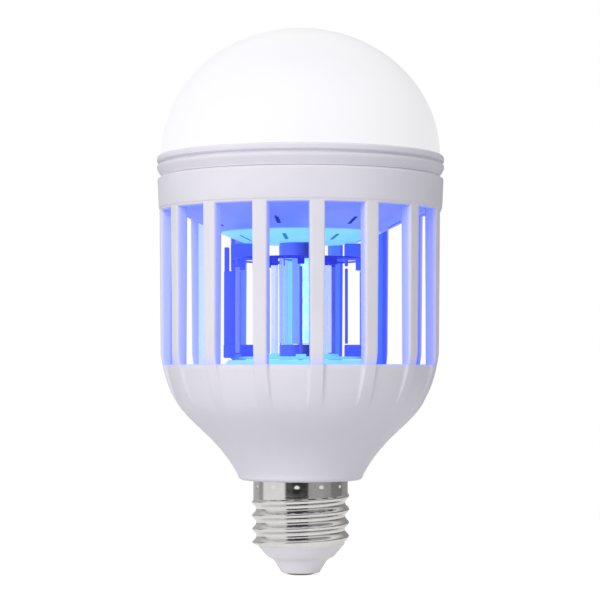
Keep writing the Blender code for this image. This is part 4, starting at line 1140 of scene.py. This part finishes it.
def make_insulator(material):
    low, high = box_mm("cap_insulator")
    cone_top = low.z + INSULATOR_CONE_RISE
    plug_r = CAP_BORE_R - CLEAR
    bowl_r = plug_r - INSULATOR_BOWL_WIDTH
    rim = CAP_START + INSULATOR_RIM_RISE
    cone_r = bowl_r - INSULATOR_STEP
    hole = CONTACT_STEM_R + CLEAR
    seat = CONTACT_THICK + CLEAR
    seat_r = CONTACT_R + CLEAR
    profile = rounded([
        (hole, seat), (seat_r, seat), (seat_r, low.z), (seat_r + 0.6, low.z),
        (cone_r - 0.5, cone_top - 0.7), (cone_r, cone_top), (bowl_r, cone_top + INSULATOR_STEP_RISE),
        (plug_r, CAP_START - CLEAR),
        (INSULATOR_RIM_R, SHELL_START - 0.05), (INSULATOR_RIM_R, rim), (plug_r, rim), (plug_r, high.z),
        (hole, high.z),
    ], 0.5)
    finish_turned("insulator_shell", profile, 160, material, "cap_insulator")


def make_contact(material):
    stem_top = box_mm("centre_contact")[1].z
    profile = rounded([
        (0.0, 0.0), (0.72 * CONTACT_R, 0.0), (CONTACT_R, 0.5 * CONTACT_THICK), (CONTACT_R, CONTACT_THICK),
        (CONTACT_STEM_R, CONTACT_THICK), (CONTACT_STEM_R, stem_top), (0.0, stem_top),
    ], 0.2, 3, False)
    finish_turned("contact_button", profile, 96, material, "centre_contact")


# Pieces inside the bowl and under the dome, which keep their CAD shape

INNER_FINISHES = (  # name, linear colour, roughness, metal and the pieces that have it
    ("board_green", (0.05, 0.24, 0.11), 0.4, 0.0, ["driver_board"]),
    ("winding_tape", (0.80, 0.60, 0.10), 0.5, 0.0, ["transformer"]),
    ("capacitor_sleeve", (0.04, 0.06, 0.15), 0.3, 0.0, ["capacitor_1", "capacitor_2"]),
    ("film_red", (0.42, 0.09, 0.05), 0.3, 0.0, ["film_capacitor"]),
    ("black_resin", (0.02, 0.02, 0.022), 0.45, 0.0, ["rectifier"]),
    ("lead_insulation", (0.80, 0.80, 0.82), 0.4, 0.0, ["led_lead", "cap_lead"]),
    ("plate_aluminium", (0.72, 0.73, 0.75), 0.38, 1.0, ["heat_plate"]),
    ("led_board_white", (0.88, 0.88, 0.86), 0.4, 0.0, ["led_board"]),
    ("phosphor", (0.93, 0.78, 0.22), 0.3, 0.0, [f"white_led_{k}" for k in range(1, 7)]),
    ("screw_steel", (0.70, 0.70, 0.71), 0.25, 1.0, [f"board_screw_{k}" for k in range(1, 4)]),
)


def dress_inner_pieces():
    for name, colour, roughness, metallic, nodes in INNER_FINISHES:
        material = grained_material(name, colour, roughness, metallic)
        for node in nodes:
            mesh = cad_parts[node].data
            mesh.materials.clear()
            mesh.materials.append(material)


# Floor, light and camera

WORLD_DIFFUSE = 0.49
FLOOR_ALBEDO = 0.78
FLOOR_OWN_LIGHT = 0.75
FLOOR_MIRRORED = 0.45  # share of the floor's own light that metal mirrors
FLOOR_R = 220.0
FLOOR_DROP = 0.05
REFLECTED_BANDS = (  # degrees from the camera's side, brightness in a metal's reflection
    (-180, 0.50), (-124, 0.50), (-120, 0.36), (-106, 0.36), (-100, 0.87), (-40, 0.87), (-35, 0.07),
    (-20, 0.07), (-17, 0.03), (17, 0.03), (21, 0.38), (58, 0.38), (61, 0.33), (77, 0.33), (81, 0.21),
    (119, 0.21), (122, 0.32), (180, 0.32),
)
REFLECTED_ABOVE = 0.85  # brightness of what the metal mirrors from above and below
STEEP = (0.35, 0.8)  # sine of the elevation where that takes over
LIGHT_DISTANCE = 900.0
LIGHTS = (  # name, degrees right of the camera, elevation, size, power and colour
    ("key", -30.0, 26.0, 620.0, 4.0, (1.0, 0.985, 1.0)),
    ("fill", 48.0, 8.0, 620.0, 0.4, (0.97, 0.98, 1.0)),
    ("top", -10.0, 72.0, 500.0, 0.55, WHITE),
)
LIGHTS_AIM = Vector((0.0, 0.0, 75.0))


def make_world():
    """White to the camera, pale for the surfaces and a banded studio for what the metal mirrors."""
    world = bpy.data.worlds.new("studio")
    bpy.context.scene.world = world
    tree = Tree(world)
    tree.nodes.clear()
    direction = tree.node("ShaderNodeTexCoord", {}).outputs["Generated"]
    front = tree.node("ShaderNodeVectorRotate", {"Vector": direction, "Angle": radians(-CAMERA_ANGLE)},
                      rotation_type="Z_AXIS").outputs["Vector"]
    bands = tree.ramp_round(front, [(angle, [level] * 3) for angle, level in REFLECTED_BANDS])
    steepness = tree.math("ABSOLUTE", tree.split(front)["Z"])
    studio = tree.mix(tree.ease(steepness, *STEEP), bands, [REFLECTED_ABOVE] * 3)
    rays = tree.node("ShaderNodeLightPath", {}).outputs
    level = tree.math("MULTIPLY_ADD", tree.seen_directly(rays), 1.0 - WORLD_DIFFUSE, WORLD_DIFFUSE)
    sky = tree.node("ShaderNodeBackground", {"Color": (*WHITE, 1.0), "Strength": level})
    mirrored = tree.node("ShaderNodeBackground", {"Color": studio})
    skies = {0: rays["Is Glossy Ray"], 1: sky.outputs[0], 2: mirrored.outputs[0]}
    both = tree.node("ShaderNodeMixShader", skies)
    tree.node("ShaderNodeOutputWorld", {"Surface": both.outputs[0]})


def make_floor_plane():
    """A pale floor that the camera sees as white except in the bulb's shadow."""
    mesh = bpy.data.meshes.new("studio_floor")
    edge = [at(FLOOR_R * MM, 360.0 * k / 64) for k in range(64)]
    mesh.from_pydata(edge, [], [range(64)])
    floor = new_object("studio_floor", mesh)
    floor.location.z = -FLOOR_DROP * MM
    tree = Finish("studio_floor", Roughness=0.9, Specular_IOR_Level=0.0)
    tree.give("Base Color", (*[FLOOR_ALBEDO] * 3, 1.0))
    rays = tree.node("ShaderNodeLightPath", {}).outputs
    seen = tree.math("MULTIPLY_ADD", rays["Is Glossy Ray"], FLOOR_MIRRORED, tree.seen_directly(rays))
    tree.glow((*WHITE, 1.0), tree.times(seen, FLOOR_OWN_LIGHT))
    mesh.materials.append(tree.material)


def make_lights():
    """Soft square lights aimed at the bulb's middle."""
    for name, turn, elevation, size, power, colour in LIGHTS:
        light = bpy.data.lights.new(name, "AREA")
        light.shape = "SQUARE"
        light.size = size * MM
        light.energy = power
        light.color = colour
        lamp = new_object(name, light)
        level = LIGHT_DISTANCE * cos(radians(elevation))
        height = LIGHT_DISTANCE * sin(radians(elevation))
        place = at(level, CAMERA_ANGLE + turn, height) + LIGHTS_AIM
        lamp.location = place * MM
        lamp.rotation_euler = (LIGHTS_AIM - place).to_track_quat("-Z", "Y").to_euler()
        lamp.visible_camera = False
        lamp.visible_glossy = False


def make_camera():
    camera = bpy.data.cameras.new("camera")
    camera.lens = CAMERA_LENS
    camera.sensor_width = CAMERA_SENSOR
    camera.clip_start = 0.01
    item = new_object("camera", camera)
    bpy.context.scene.camera = item
    aim = at(AIM_LEFT, CAMERA_ANGLE - 90.0)
    ahead = (aim - at(CAMERA_DISTANCE, CAMERA_ANGLE)).normalized()
    look = ahead * cos(radians(CAMERA_TILT)) + Vector((0.0, 0.0, sin(radians(CAMERA_TILT))))
    item.location = at(CAMERA_DISTANCE, CAMERA_ANGLE, CAMERA_HEIGHT) * MM
    item.rotation_euler = look.to_track_quat("-Z", "Y").to_euler()


def main():
    scene = bpy.context.scene
    scene.view_settings.view_transform = "Standard"
    white = moulding_material()
    make_cage(white)
    make_ring(white)
    make_dome(opal_material())
    make_ceiling(ceiling_material())
    make_floor(floor_material())
    holder = holder_material()
    make_holder(holder)
    make_upper_ring(holder)
    make_electrodes(grid_material("strip_steel", STRIP_BLUES, STRIP_GLOW),
                    grid_material("rod_steel", ROD_BLUES, ROD_GLOW))
    make_lamp(core_material(), chip_material(), sleeve_material())
    make_cap(nickel_material())
    make_insulator(insulator_material())
    make_contact(grained_material("contact_metal", (0.30, 0.29, 0.28), 0.45, 0.6))
    dress_inner_pieces()
    make_world()
    make_floor_plane()
    make_lights()
    make_camera()


main()
